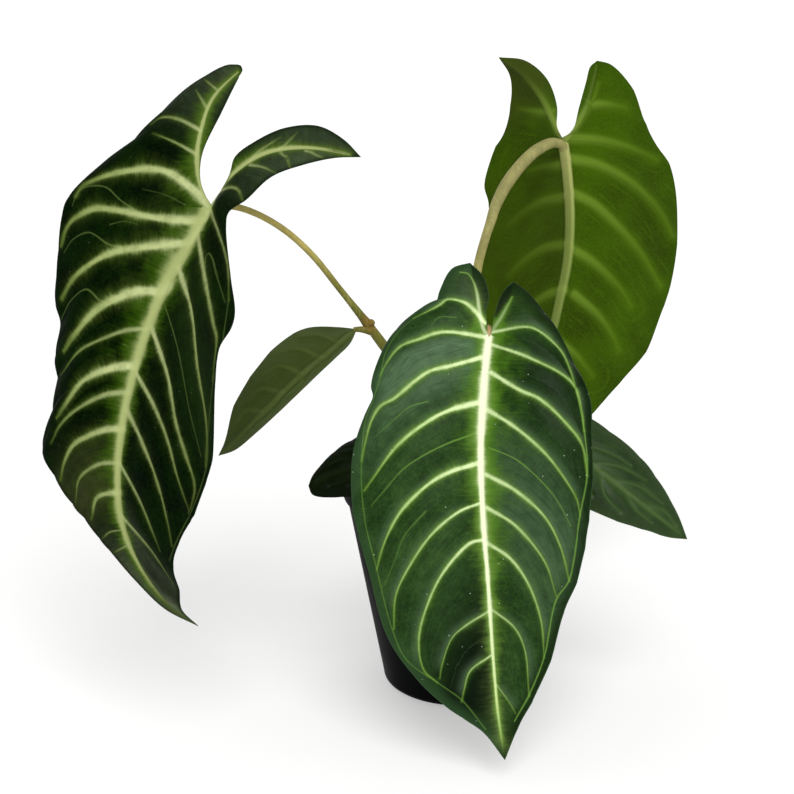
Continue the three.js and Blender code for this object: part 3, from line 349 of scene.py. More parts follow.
# Stalks: foot in the stem, radii in mm at shares of the length, and the route up to the blade
STALKS = {
    "left": {
        "foot": [-5.5, -1.5], "radii": [3.4, 2.8, 2.65, 2.2, 1.65, 1.75],
        "radiiAt": [0, 0.35, 0.48, 0.54, 0.6, 1],
        "route": [[-7.2, -0.7, 127.4], [-14.5, -4.2, 146.9], [-27.6, -10.4, 174.2], [-43.9, -17.1, 199.6],
            [-53.5, -19.7, 213.6], [-65.8, -22, 230.3], [-78.5, -24.7, 247.5], [-91, -27.5, 260.4],
            [-103.4, -31.7, 269.7], [-115.1, -36.4, 275.6], [-123.7, -42.6, 277.8], [-128.7, -48.4, 277.5]],
    },
    "front": {
        "foot": [2, -6.5], "radii": [2.6, 2.1, 1.6],
        "radiiAt": [0, 0.5, 1],
        "route": [[2.4, -6.4, 123.9], [3.2, -8.9, 147.1], [6.3, -17, 173.4], [9.2, -30.8, 196.6],
            [10.6, -43.5, 210.6], [10.6, -53.2, 217], [10.6, -61.1, 218.4], [10.3, -67.6, 215.8]],
    },
    "back": {
        "foot": [3, 6.5], "radii": [3.2, 2.6, 2.6, 3.2, 3.7, 3.5, 2.6, 1.0],
        "radiiAt": [0, 0.38, 0.61, 0.68, 0.745, 0.88, 0.95, 1],
        "route": [[1.9, 11, 124.6], [2.5, 21, 150.4], [5, 39.7, 191.1], [9.8, 59.8, 222.8],
            [14, 69.2, 236.3], [16.9, 74.6, 243.8], [20.3, 82.5, 252.4], [25.6, 91.4, 261.1],
            [31.4, 98.7, 268], [38.2, 106.9, 274.2], [44.6, 111.5, 279], [53, 118.2, 282.1],
            [57.2, 122.3, 281.6], [61, 125.4, 279.6], [62.6, 126, 274.5], [63.4, 126, 267]],
    },
    "right": {
        "foot": [7.5, 0.5], "radii": [2.2, 1.7, 1.3],
        "radiiAt": [0, 0.5, 1],
        "route": [[8.4, -1.6, 118.8], [11.7, -2.4, 132.1], [19.9, -8.3, 147.1], [29.1, -15.1, 155.5],
            [35.1, -21.5, 158], [39, -26.3, 156.6]],
    },
    "low": {
        "foot": [-6, -8], "radii": [1.8, 1.4, 1.2],
        "radiiAt": [0, 0.5, 1],
        "route": [[-6.8, -8.9, 121.1], [-5.9, -10.8, 131.7], [-7.2, -17.6, 140.6], [-10.1, -25.3, 144.6],
            [-14.5, -30.2, 144]],
    },
}
# The thickened node of the left leaf's stalk: a sheath below it and the bud beside it
NODE = {
    "place": [-52.3, -19.8, 209.9],
    "sheath": {
        "route": [[-49.6, -20, 206.6], [-52, -20.8, 207.4], [-55, -21, 207.8], [-58.4, -21, 207.7]],
        "rings": 26, "radii": [2.2, 1.9, 1.5, 1.25], "radiiAt": [0, 0.3, 0.7, 1],
    },
    "bud": {
        "route": [[-51, -19.9, 209.6], [-49.8, -20.2, 210.8], [-48.6, -20.4, 211.8], [-47.9, -20.5, 212.6]],
        "rings": 22, "radii": [1.7, 1.95, 1.9, 1.5, 0.4], "radiiAt": [0, 0.5, 0.75, 0.9, 1],
    },
}


def smoothstep(low, high, value):
    t = np.clip((value - low) / (high - low), 0, 1)
    return t * t * (3 - 2 * t)


class Curve:
    """A centripetal spline through points, as the solids use."""

    def __init__(self, points):
        p = np.array(points, float)
        self.points = np.vstack([2 * p[0] - p[1], p, 2 * p[-1] - p[-2]])
        self.spans = len(p) - 1
        self.shares = np.linspace(0, 1, 201)
        steps = np.linalg.norm(np.diff(self.at(self.shares), axis=0), axis=1)
        self.run = np.concatenate([[0], np.cumsum(steps)])
        self.length = self.run[-1]

    def at(self, share):
        x = np.clip(np.asarray(share, float), 0, 1) * self.spans
        i = np.minimum(x.astype(int), self.spans - 1)
        w = (x - i)[..., None]
        p0, p1, p2, p3 = (self.points[i + k] for k in range(4))
        d0, d1, d2 = (np.maximum(np.linalg.norm(b - a, axis=-1), 1e-8)[..., None] ** 0.5
                      for a, b in ((p0, p1), (p1, p2), (p2, p3)))
        t1 = ((p1 - p0) / d0 - (p2 - p0) / (d0 + d1) + (p2 - p1) / d1) * d1
        t2 = ((p2 - p1) / d1 - (p3 - p1) / (d1 + d2) + (p3 - p2) / d2) * d1
        return (p1 + t1 * w + (-3 * p1 + 3 * p2 - 2 * t1 - t2) * w ** 2
                + (2 * p1 - 2 * p2 + t1 + t2) * w ** 3)

    def along(self, share):
        return self.at(np.interp(np.clip(share, 0, 1) * self.length, self.run, self.shares))


class Half:
    """One half of a blade, by vein position and by share of the way from spine to margin."""

    def __init__(self, blade, name):
        half = blade[name]
        self.sign = -1 if name == "left" else 1
        self.bow = half["bow"]
        self.midrib = Curve(blade["midrib"])
        self.basal = Curve(half["basal"]) if "basal" in half else None
        self.sinus = Curve(half["sinus"]) if "sinus" in half else None
        self.margin = Curve([row[1:] for row in half["margin"]])
        self.stations = np.array([row[0] for row in half["margin"]], float)
        self.veins = np.array([self.stations[0] - 0.1, *half["veins"], 1.1])

    def spine_at(self, at):
        on_rib = self.midrib.along(np.maximum(at, 0))
        if self.basal is None:
            return on_rib
        return np.where((at < 0)[..., None], self.basal.along(np.maximum(-at, 0)), on_rib)

    def margin_at(self, at):
        last = len(self.stations) - 1
        i = np.clip(np.searchsorted(self.stations, at, side="left") - 1, 0, last - 1)
        within = np.clip((at - self.stations[i]) / (self.stations[i + 1] - self.stations[i]), 0, 1)
        return self.margin.at((i + within) / last)

    def width(self, at):
        return np.linalg.norm(self.spine_at(at) - self.margin_at(at), axis=-1)

    def rows(self, at, s):
        start = self.spine_at(at)[:, None, :]
        chord = self.margin_at(at)[:, None, :] - start
        bend = (4 * s * (1 - s) * self.bow * self.sign)[None, :]
        points = start + chord * s[None, :, None]
        points[..., 0] += chord[..., 1] * bend
        points[..., 1] -= chord[..., 0] * bend
        return points

    def dome(self, at):
        """0 on a side vein and 1 halfway between two."""
        i = np.clip(np.searchsorted(self.veins, at, side="left") - 1, 0, len(self.veins) - 2)
        field = (at - self.veins[i]) / (self.veins[i + 1] - self.veins[i])
        return 4 * field * (1 - field)


def row_positions(halves, start, stop, count):
    """Vein positions of a sheet's rows, spaced so that none of its lines has long steps."""
    places = np.linspace(start, stop, 481)
    lines = [halves[0].spine_at(places)] + [half.margin_at(places) for half in halves]
    step = np.max([np.linalg.norm(np.diff(line, axis=0), axis=1) for line in lines], axis=0)
    run = np.concatenate([[0], np.cumsum(step)])
    return np.interp(np.linspace(0, run[-1], count + 1), run, places)


def place_in_view(blade, flat):
    """World place of blade points: each slides along its line of sight by its rise."""
    junction = np.array(blade["junction"], float)
    right = np.array([1.0, 0, 0])
    from_eye = junction + flat[..., :1] * right - flat[..., 1:2] * UP - EYE
    depth = (from_eye @ SIGHT)[..., None]
    return from_eye * (depth - flat[..., 2:3]) / depth + EYE


def seen_at(blade, world):
    """Across and down of world points as the eye sees them, in the plane of the blade's junction."""
    junction = np.array(blade["junction"], float)
    from_eye = world - EYE
    depth = ((junction - EYE) @ SIGHT) / (from_eye @ SIGHT)
    offset = from_eye * depth[..., None] + EYE - junction
    return np.stack([offset[..., 0], -(offset @ UP)], axis=-1)


def grid_faces(index):
    a, b, c, d = index[:-1, :-1], index[:-1, 1:], index[1:, 1:], index[1:, :-1]
    return np.concatenate([np.stack([a, b, c], -1).reshape(-1, 3), np.stack([a, c, d], -1).reshape(-1, 3)])


def vertex_normals(points, faces):
    a, b, c = (points[faces[:, k]] for k in range(3))
    cross = np.cross(b - a, c - a)
    normals = np.zeros_like(points)
    for k in range(3):
        np.add.at(normals, faces[:, k], cross)
    return normals / np.maximum(np.linalg.norm(normals, axis=1), 1e-12)[:, None]


def open_edges(faces):
    edges = np.concatenate([faces[:, [0, 1]], faces[:, [1, 2]], faces[:, [2, 0]]])
    size = faces.max() + 1
    forward = edges[:, 0].astype(np.int64) * size + edges[:, 1]
    backward = edges[:, 1].astype(np.int64) * size + edges[:, 0]
    return edges[~np.isin(forward, backward)]


def tree_of(points):
    tree = KDTree(len(points))
    for i, point in enumerate(points):
        tree.insert(point, i)
    tree.balance()
    return tree


def nearest(points, others):
    """Distance and index of the nearest of the others, for each point."""
    tree = tree_of(others)
    found = [tree.find(point) for point in points]
    return np.array([f[2] for f in found]), np.array([f[1] for f in found])


def laid_on(flat_points, flat_vertices, world_vertices):
    """World places of flat points on the sheet, from a local straight fit to the vertices near each."""
    neighbours = 9
    tree = tree_of([(x, y, 0) for x, y in flat_vertices])
    placed = []
    for x, y in flat_points:
        near = [f[1] for f in tree.find_n((x, y, 0), neighbours)]
        local = np.c_[np.ones(len(near)), flat_vertices[near] - (x, y)]
        fit = np.linalg.lstsq(local, world_vertices[near], rcond=None)[0]
        placed.append(fit[0])
    return np.array(placed)


def dense(points, step):
    """A smooth line through points with an even spacing, the share of the length at each, and the length."""
    curve = Curve(points)
    shares = np.linspace(0, 1, max(4, int(curve.length / step)))
    return curve.along(shares), shares, curve.length


def side_of(line, x, y):
    """-1 left of a downward line, 1 right of it."""
    i = np.argmin(np.hypot(line[:-1, 0] - x, line[:-1, 1] - y))
    step = line[i + 1] - line[i]
    return -np.sign(step[0] * (y - line[i, 1]) - step[1] * (x - line[i, 0]))


# Points of a sheet's parts are one point where they agree to this fraction of a mm
WELD = 2000
# The strip between a lobe's rib and the sinus has one column for this many of the blade's
SINUS_SHARE = 7


def sheet_of(blade, rows, lobe_rows, columns):
    """The halves, flat points of the middle sheet, its triangles, and five values for each point.

    The values are the half's width, the share of the way out, the dome, the vein position and the side,
    which is -1 or 1, and twice that in the strip along the sinus."""
    halves = [Half(blade, name) for name in ("left", "right")]
    points, extras, faces = [], [], []
    count = 0

    def add(grid, extra, flip):
        nonlocal count
        index = count + np.arange(grid.shape[0] * grid.shape[1]).reshape(grid.shape[:2])
        count = index.max() + 1
        points.append(grid.reshape(-1, 3))
        extras.append(extra.reshape(-1, 5))
        found = grid_faces(index)
        faces.append(found[:, ::-1] if flip else found)

    body = row_positions(halves, 0.0, 1.0, rows)
    s = np.linspace(0, 1, columns + 1)
    for half in halves:
        right = half.sign > 0
        lobe = row_positions([half], -1.0, 0.0, lobe_rows) if half.basal else np.zeros(0)
        at = np.concatenate([lobe[:-1], body])
        values = half.width(at)[:, None], s[None, :], half.dome(at)[:, None], at[:, None], half.sign
        grid = half.rows(at, s)
        add(grid, np.stack([np.broadcast_to(v, grid.shape[:2]) for v in values], -1), right)
        if half.sinus:
            inner = half.spine_at(lobe)
            outer = half.sinus.along(-lobe)
            t = np.linspace(0, 1, max(4, columns // SINUS_SHARE))
            grid = inner[:, None, :] + (outer - inner)[:, None, :] * t[None, :, None]
            values = np.linalg.norm(outer - inner, axis=1)[:, None], 0, 0, lobe[:, None], 2 * half.sign
            add(grid, np.stack([np.broadcast_to(v, grid.shape[:2]) for v in values], -1), not right)
    points = np.concatenate(points)
    extras = np.concatenate(extras)
    faces = np.concatenate(faces)
    keys = np.round(points * WELD).astype(np.int64)
    _, first, inverse = np.unique(keys, axis=0, return_index=True, return_inverse=True)
    faces = inverse.reshape(-1)[faces]
    whole = (faces[:, 0] != faces[:, 1]) & (faces[:, 1] != faces[:, 2]) & (faces[:, 2] != faces[:, 0])
    return halves, points[first], extras[first], faces[whole]


def mesh_object(name, points, faces, materials, face_material=None, fields=None):
    """A smooth mesh from world points in mm."""
    mesh = bpy.data.meshes.new(name)
    mesh.from_pydata((points * MM).tolist(), [], faces.tolist())
    for material in materials:
        mesh.materials.append(material)
    mesh.polygons.foreach_set("use_smooth", np.ones(len(mesh.polygons), bool))
    if face_material is not None:
        mesh.polygons.foreach_set("material_index", np.asarray(face_material, np.int32))
    for field, values in (fields or {}).items():
        attribute = mesh.attributes.new(field, "FLOAT_VECTOR", "POINT")
        attribute.data.foreach_set("vector", np.asarray(values, np.float32).ravel())
    mesh.update()
    piece = bpy.data.objects.new(name, mesh)
    bpy.context.scene.collection.objects.link(piece)
    return piece


# Form of the sheets in mm. Arch and puff are shares of the half's width, most_puff is the highest a puff may
# be, and full_wave the width from which waves have their full height.
LEAF = {"thickness": 0.7, "edge": 0.4, "arch": 0.07, "wave": 1.1, "full_wave": 40, "puff": 0.055,
        "most_puff": 1.5, "puff_reach": 4.5}
# Relief of the veins: height or depth in mm, and how far it reaches past the vein's edge
RELIEF = {"channel": (0.22, 0.7), "fine": (0.10, 0.5), "crease": (0.5, 1.2), "rib": (1.2, 1.1),
          "vein": (0.42, 0.8)}
# Spacing in mm of a vein's points as drawn, and as laid on the sheet
DRAWN_STEP = 1.5
LAID_STEP = 0.25
# A lobe's own rib stops at this share of the lobe's length
LOBE_RIB_END = 0.93
# Where the runs along lines start in mm, so that no two have the same streaks: those of the lobes' ribs, the
# step from one vein to the next, and the collective veins
LOBE_RUN = 300.0
VEIN_RUN = 20
COLLECTIVE_RUN = 500
# Gap in mm to veins that a blade doesn't have
FAR = 60.0


def round_tips(flat, tips):
    """Pulls the points past a tip back onto its circle."""
    for tip, middle, radius in tips:
        out = flat[:, :2] - middle
        reach = np.linalg.norm(out, axis=1)
        past = (out @ (np.array(tip) - middle) > 0) & (reach > radius) & (reach < 4 * radius)
        flat[past, :2] = middle + out[past] * (radius / reach[past])[:, None]


def drawn_on(points, seen, arched):
    """A line through [across, down] points laid on the sheet, with its shares and its length."""
    line = dense([[x, y, 0] for x, y in points], DRAWN_STEP)[0]
    return dense(laid_on(line[:, :2], seen, arched), LAID_STEP)


def rib_lines(blade, look, halves, seen, arched):
    """The midrib and the lobes' ribs. Each line has its places, half widths, runs and shares."""
    curve = Curve(blade["midrib"])
    share = np.linspace(0, 1, int(curve.length / LAID_STEP))
    places = place_in_view(blade, curve.along(share))
    lines = [(places, np.interp(share, *look["midrib"]), share * curve.length, share)]
    for half in halves:
        if half.basal is None:
            continue
        right = int(half.sign > 0)
        if "lobes" in look:
            places = drawn_on(look["lobes"][right], seen, arched)[0]
        else:
            until = np.linspace(0, LOBE_RIB_END, int(half.basal.length / LAID_STEP))
            places = place_in_view(blade, half.basal.along(until))
        share = np.linspace(0, 1, len(places))
        widths = np.interp(share, *look["lobe"]) * look.get("lobe_widths", (1.0, 1.0))[right]
        lines.append((places, widths, LOBE_RUN + share * half.basal.length, share))
    return lines


def vein_lines(blade, look, veins, seen, arched):
    """Side veins or fine veins, in the same form as the ribs."""
    curve = Curve(blade["midrib"])
    midrib = curve.along(np.linspace(0, 1, int(curve.length / LAID_STEP)))
    lines = []
    for k, (start, stop, points) in enumerate(veins):
        places, share, length = drawn_on(points, seen, arched)
        scale = look["veins"][int(side_of(midrib, *points[-1]) > 0)]
        widths = (start + (stop - start) * share) * scale
        lines.append((places, widths, VEIN_RUN * k + share * length, share))
    return lines


def collective_lines(veins, seen, arched):
    """The fine veins along the margin, each of one width."""
    lines = []
    for k, (width, points) in enumerate(veins):
        places, share, length = drawn_on(points, seen, arched)
        run = COLLECTIVE_RUN + VEIN_RUN * k + share * length
        lines.append((places, np.full(len(places), width), run, share))
    return lines


def measured(lines, arched, lean):
    """Gap to the edge of the nearest line, distance to its middle and beside it, half width, run, share."""
    if not lines:
        far, none = np.full(len(arched), FAR), np.zeros(len(arched))
        return far, far, far, none, none, none
    places, widths, runs, shares = (np.concatenate(values) for values in zip(*lines))
    tangents = np.concatenate([np.gradient(line[0], axis=0) for line in lines])
    distance, index = nearest(arched, places)
    square = np.cross(tangents[index], lean)
    square /= np.maximum(np.linalg.norm(square, axis=1), 1e-9)[:, None]
    beside = np.sum((arched - places[index]) * square, axis=1)
    return distance - widths[index], distance, beside, widths[index], runs[index], shares[index]


def relief(kind, gap):
    height, reach = RELIEF[kind]
    return height * np.exp(-(np.maximum(gap, 0) / reach) ** 2)


def two_sides(arched, lean, faces, extra, gaps, rim_gap):
    """Upper and under side: fields puffed up between veins that are sunk above and raised below."""
    width, share, _, where, _ = extra.T
    rib_gap, vein_gap, fine_gap = gaps
    inside = np.sin(np.pi * np.minimum(1, 1.15 * share))
    room = np.minimum(vein_gap, rib_gap + 1.0)
    filled = 1 - np.exp(-np.maximum(room, 0) / LEAF["puff_reach"])
    puff = np.minimum(LEAF["most_puff"], LEAF["puff"] * width) * filled * inside
    middle = arched + lean * puff[:, None]
    normals = vertex_normals(middle, faces)
    edge = LEAF["edge"] / 2
    half_thickness = edge + (LEAF["thickness"] - LEAF["edge"]) / 2 * smoothstep(0, 3, rim_gap)
    channel = relief("channel", vein_gap) * smoothstep(0, 4, rim_gap)
    channel += relief("fine", fine_gap)
    crease = relief("crease", rib_gap) * smoothstep(0, 8, rim_gap)
    rib_high = relief("rib", rib_gap) * smoothstep(0, 6, rim_gap)
    rib_high *= np.where(where < 0, 0.8, 1) * (1 - 0.55 * np.abs(where))
    vein_high = relief("vein", vein_gap) * smoothstep(0, 4, rim_gap)
    upper = middle + normals * (half_thickness - channel - crease * 0.6)[:, None]
    under = middle - normals * (half_thickness + rib_high + vein_high)[:, None]
    return upper, under


def closed_sheet(faces, count):
    """Triangles of both sides and of the rim between them, and the material slot of each."""
    a, b = open_edges(faces).T
    rim = np.concatenate([np.stack([a, a + count, b + count], -1), np.stack([a, b + count, b], -1)])
    slots = np.concatenate([np.zeros(len(faces)), np.ones(len(faces)), np.zeros(len(rim))])
    return np.concatenate([faces, faces[:, ::-1] + count, rim]), slots


def blade_piece(name, rows, lobe_rows, columns, materials):
    blade, look = BLADES[name], blade_look[name]
    halves, flat, extra, faces = sheet_of(blade, rows, lobe_rows, columns)
    width, share, dome, where, side = extra.T
    round_tips(flat, look.get("round", []))
    plain = place_in_view(blade, flat)
    lean = vertex_normals(plain, faces)
    if np.sum(lean @ SIGHT) * blade["upperFace"] > 0:
        faces = faces[:, ::-1]
        lean = -lean
    arch = LEAF["arch"] * width * 4 * share * (1 - share)
    wave = LEAF["wave"] * np.minimum(1, width / LEAF["full_wave"]) * (dome - 0.6) * share ** 3
    wave *= np.where(side < 0, *look.get("wave", (1.0, 1.0)))
    arched = plain + lean * (arch + wave)[:, None]

    seen = seen_at(blade, arched)
    ribs = rib_lines(blade, look, halves, seen, arched)
    main, fine = (vein_lines(blade, look, VEINS.get((name, kind), []), seen, arched)
                  for kind in ("main", "fine"))
    fine += collective_lines(VEINS.get((name, "collective"), []), seen, arched)
    found = [measured(lines, arched, lean) for lines in (ribs, main, fine)]
    gaps, offs, besides, widths, runs, shares = zip(*found)
    rim_gap, _ = nearest(arched, arched[np.unique(open_edges(faces))])

    sides = two_sides(arched, lean, faces, extra, gaps, rim_gap)
    low, high = np.array(cad_box) / MM
    spare = 0.01
    places = np.clip(np.concatenate(sides), low + spare, high - spare)
    all_faces, face_material = closed_sheet(faces, len(arched))
    fields = {
        "off": offs, "beside": besides, "halfwidth": widths,
        "course": (runs[0], runs[1], rim_gap), "spot": (shares[1], where, side),
    }
    piece = mesh_object(f"{name}_leaf", places, all_faces, materials, face_material,
                        {key: np.tile(np.stack(values, -1), (2, 1)) for key, values in fields.items()})
    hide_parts(f"{name}_blade")
    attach(piece, "root")


class Graph:
    """Short calls for a material's nodes. A value may be a socket, a number or a colour."""

    def __init__(self, name):
        self.material = bpy.data.materials.new(name)
        self.material.use_nodes = True
        self.tree = self.material.node_tree
        self.tree.nodes.clear()
        output = self.tree.nodes.new("ShaderNodeOutputMaterial")
        self.shader = self.tree.nodes.new("ShaderNodeBsdfPrincipled")
        self.tree.links.new(self.shader.outputs[0], output.inputs["Surface"])
        self.at = self.node("ShaderNodeTexCoord").outputs["Object"]

    def put(self, value, socket):
        if isinstance(value, bpy.types.NodeSocket):
            self.tree.links.new(value, socket)
        elif isinstance(value, tuple) and socket.type == "RGBA":
            socket.default_value = (*value, 1.0)
        else:
            socket.default_value = value

    def node(self, kind, inputs=(), **settings):
        node = self.tree.nodes.new(kind)
        for key, value in settings.items():
            setattr(node, key, value)
        for key, value in dict(inputs).items():
            self.put(value, node.inputs[key])
        return node

    def math(self, operation, a, b=0.0):
        return self.node("ShaderNodeMath", {0: a, 1: b}, operation=operation).outputs[0]

    def times(self, first, *others):
        for other in others:
            first = self.math("MULTIPLY", first, other)
        return first

    def smooth(self, value, low, high, start=0.0, stop=1.0):
        """Start below the low value and stop above the high one, smooth between."""
        node = self.node("ShaderNodeMapRange", {0: value, 1: low, 2: high, 3: start, 4: stop},
                         interpolation_type="SMOOTHSTEP")
        return node.outputs[0]

    def near(self, value, reach, share=1.0):
        """The share where the value is 0, and nothing from the reach on."""
        return self.smooth(value, 0.0, reach, share, 0.0)

    def fade(self, steps):
        """1 at 0, and 0.3679 times as much with each step."""
        return self.math("POWER", 0.3679, steps)

    def mix(self, share, a, b, blend="MIX"):
        node = self.node("ShaderNodeMix", {0: share, 6: a, 7: b}, data_type="RGBA", blend_type=blend)
        return node.outputs[2]

    def two_tone(self, noise, a, b):
        return self.mix(self.smooth(noise, 0.3, 0.7), a, b)

    def shaded(self, color, factor):
        return self.mix(1.0, color, self.vector(factor, factor, factor), "MULTIPLY")

    def vector(self, x, y, z):
        return self.node("ShaderNodeCombineXYZ", {0: x, 1: y, 2: z}).outputs[0]

    def stretched(self, scales):
        return self.node("ShaderNodeVectorMath", {0: self.at, 1: scales}, operation="MULTIPLY").outputs[0]

    def distance(self, place):
        """Distance to a place given in mm, in metres."""
        inputs = {0: self.at, 1: [c * MM for c in place]}
        return self.node("ShaderNodeVectorMath", inputs, operation="DISTANCE").outputs["Value"]

    def noise(self, vector, scale, detail=3.0, roughness=0.55):
        node = self.node("ShaderNodeTexNoise",
                         {"Vector": vector, "Scale": scale, "Detail": detail, "Roughness": roughness})
        return node.outputs["Fac"]

    def cells(self, scale, feature="F1"):
        node = self.node("ShaderNodeTexVoronoi", {"Vector": self.at, "Scale": scale}, feature=feature)
        return node.outputs["Distance"]

    def parts(self, vector):
        return self.node("ShaderNodeSeparateXYZ", {0: vector}).outputs[:3]

    def field(self, name):
        return self.parts(self.node("ShaderNodeAttribute", attribute_name=name).outputs["Vector"])

    def bump(self, height, distance, strength=1.0, normal=None):
        inputs = {"Height": height, "Distance": distance, "Strength": strength}
        if normal is not None:
            inputs["Normal"] = normal
        return self.node("ShaderNodeBump", inputs).outputs[0]

    def finish(self, **sockets):
        names = {"color": "Base Color", "roughness": "Roughness", "normal": "Normal",
                 "specular": "Specular IOR Level", "glow": "Emission Color",
                 "glow_strength": "Emission Strength"}
        for key, value in sockets.items():
            self.put(value, self.shader.inputs[names[key]])
        return self.material


def rgb(red, green, blue):
    """A colour as it is seen on screen, from 0 to 255, in the renderer's own light values."""
    return tuple((c / 12.92 if c <= 0.04045 else ((c + 0.055) / 1.055) ** 2.4)
                 for c in (red / 255, green / 255, blue / 255))


class Leaf:
    """A blade's material with its fields: gaps, half widths, runs and rim in mm, and where a point lies.

    Noise and cells are so many to the metre, and bumps are given in metres, as in all the materials."""

    def __init__(self, name, look):
        self.g = Graph(name)
        self.look = look
        self.rib_half, self.vein_half, self.fine_half = halves = self.g.field("halfwidth")
        self.rib_run, self.vein_run, self.rim = self.g.field("course")
        self.vein_share, self.station, self.side = self.g.field("spot")
        self.from_base = self.g.math("ABSOLUTE", self.station)
        gaps = zip(self.g.field("off"), self.g.field("beside"), halves)
        self.rib, self.vein, self.fine = (self.gap(*values) for values in gaps)

    def gap(self, off, beside, half):
        """Gap to a vein's edge, measured beside it wherever the vein goes on."""
        end_slack = 0.6
        g = self.g
        clear = g.math("MAXIMUM", g.math("ABSOLUTE", beside), g.math("SUBTRACT", off, end_slack))
        return g.math("SUBTRACT", clear, half)

    def by_half(self, left, right):
        return self.g.smooth(self.side, -0.5, 0.5, left, right)

    def past(self, gap, reach):
        """How many reaches a point lies past a vein's edge."""
        return self.g.math("DIVIDE", self.g.math("MAXIMUM", gap, 0.0), reach)

    def around(self, middle, spread, share):
        """The share at one vein position, fading to both sides of it."""
        g = self.g
        return g.near(g.math("ABSOLUTE", g.math("SUBTRACT", self.station, middle)), spread, share)

    def streaks(self, first, second, scales, seed, detail=3.0):
        """Noise drawn out along a vein, from the run along it and the gap to it, each by its scale."""
        g = self.g
        return g.noise(g.vector(g.times(first, scales[0]), g.times(second, scales[1]), seed), 1.0, detail)


def upper_panel(leaf, patchy):
    """The fields between the veins: two greens, a fine net, patches of painted sheen and painted shade by
    place, painted light and shade beside the veins, and bands along the rim and the sinus, painted shade on
    the front blade's right rim and sinus.
    """
    g, look = leaf.g, leaf.look
    panel = g.mix(patchy, look["dark"], look["panel"])
    panel = g.mix(g.near(g.cells(330.0, "DISTANCE_TO_EDGE"), 0.14, look["net"]), panel, look["fine"])
    right = leaf.by_half(0.0, 1.0)
    left = g.math("SUBTRACT", 1.0, right)
    # Painted sheen and painted shade: greyer, paler patches and darker ones, each on one half round a vein
    # position
    for half, middle, spread, tone, share in look["tones"]:
        panel = g.mix(g.times(leaf.around(middle, spread, share), left if half < 0 else right), panel, tone)
    mottle = g.smooth(g.noise(g.at, 170.0, 5.0, 0.65), 0.3, 0.7, 0.8, 1.15)
    lines = g.smooth(leaf.streaks(leaf.vein, leaf.vein_run, (1.6, 0.05), 5.0), 0.3, 0.72, 0.82, 1.27)
    panel = g.shaded(panel, g.times(mottle, lines))

    # Painted light and shade beside each side vein: paler on the side toward the base, darker on the side
    # toward the tip, as on the puffed fields
    toward_base = g.times(g.field("beside")[1], -1.0, leaf.side)
    spread = g.math("DIVIDE", toward_base, look["fold_reach"])
    spread = g.times(g.fade(g.times(spread, spread)), g.smooth(leaf.vein_share, 0.0, 0.2),
                     g.smooth(leaf.vein_share, 0.75, 0.98, 1.0, 0.0))
    for edge, tone in ((1.0, look["fold_painted_light"]), (-1.0, look["fold_painted_shade"])):
        panel = g.mix(g.times(spread, g.smooth(toward_base, 0.0, edge, 0.0, look["fold_mix"])), panel, tone)
    # The band along the rim is painted shade on the front blade's right half, where the margin turns away
    # from the light
    rim_color = g.mix(right, look["rim"], look["rim_right"])
    panel = g.mix(g.near(leaf.rim, look["rim_reach"], look["rim_mix"]), panel, rim_color)
    # The strip along the sinus is painted shade on the front blade, where the lobe's edge rolls in
    in_sinus = g.smooth(g.math("ABSOLUTE", leaf.side), 1.3, 1.7, 0.0, look["sinus_mix"])
    return g.mix(in_sinus, panel, look["sinus"])


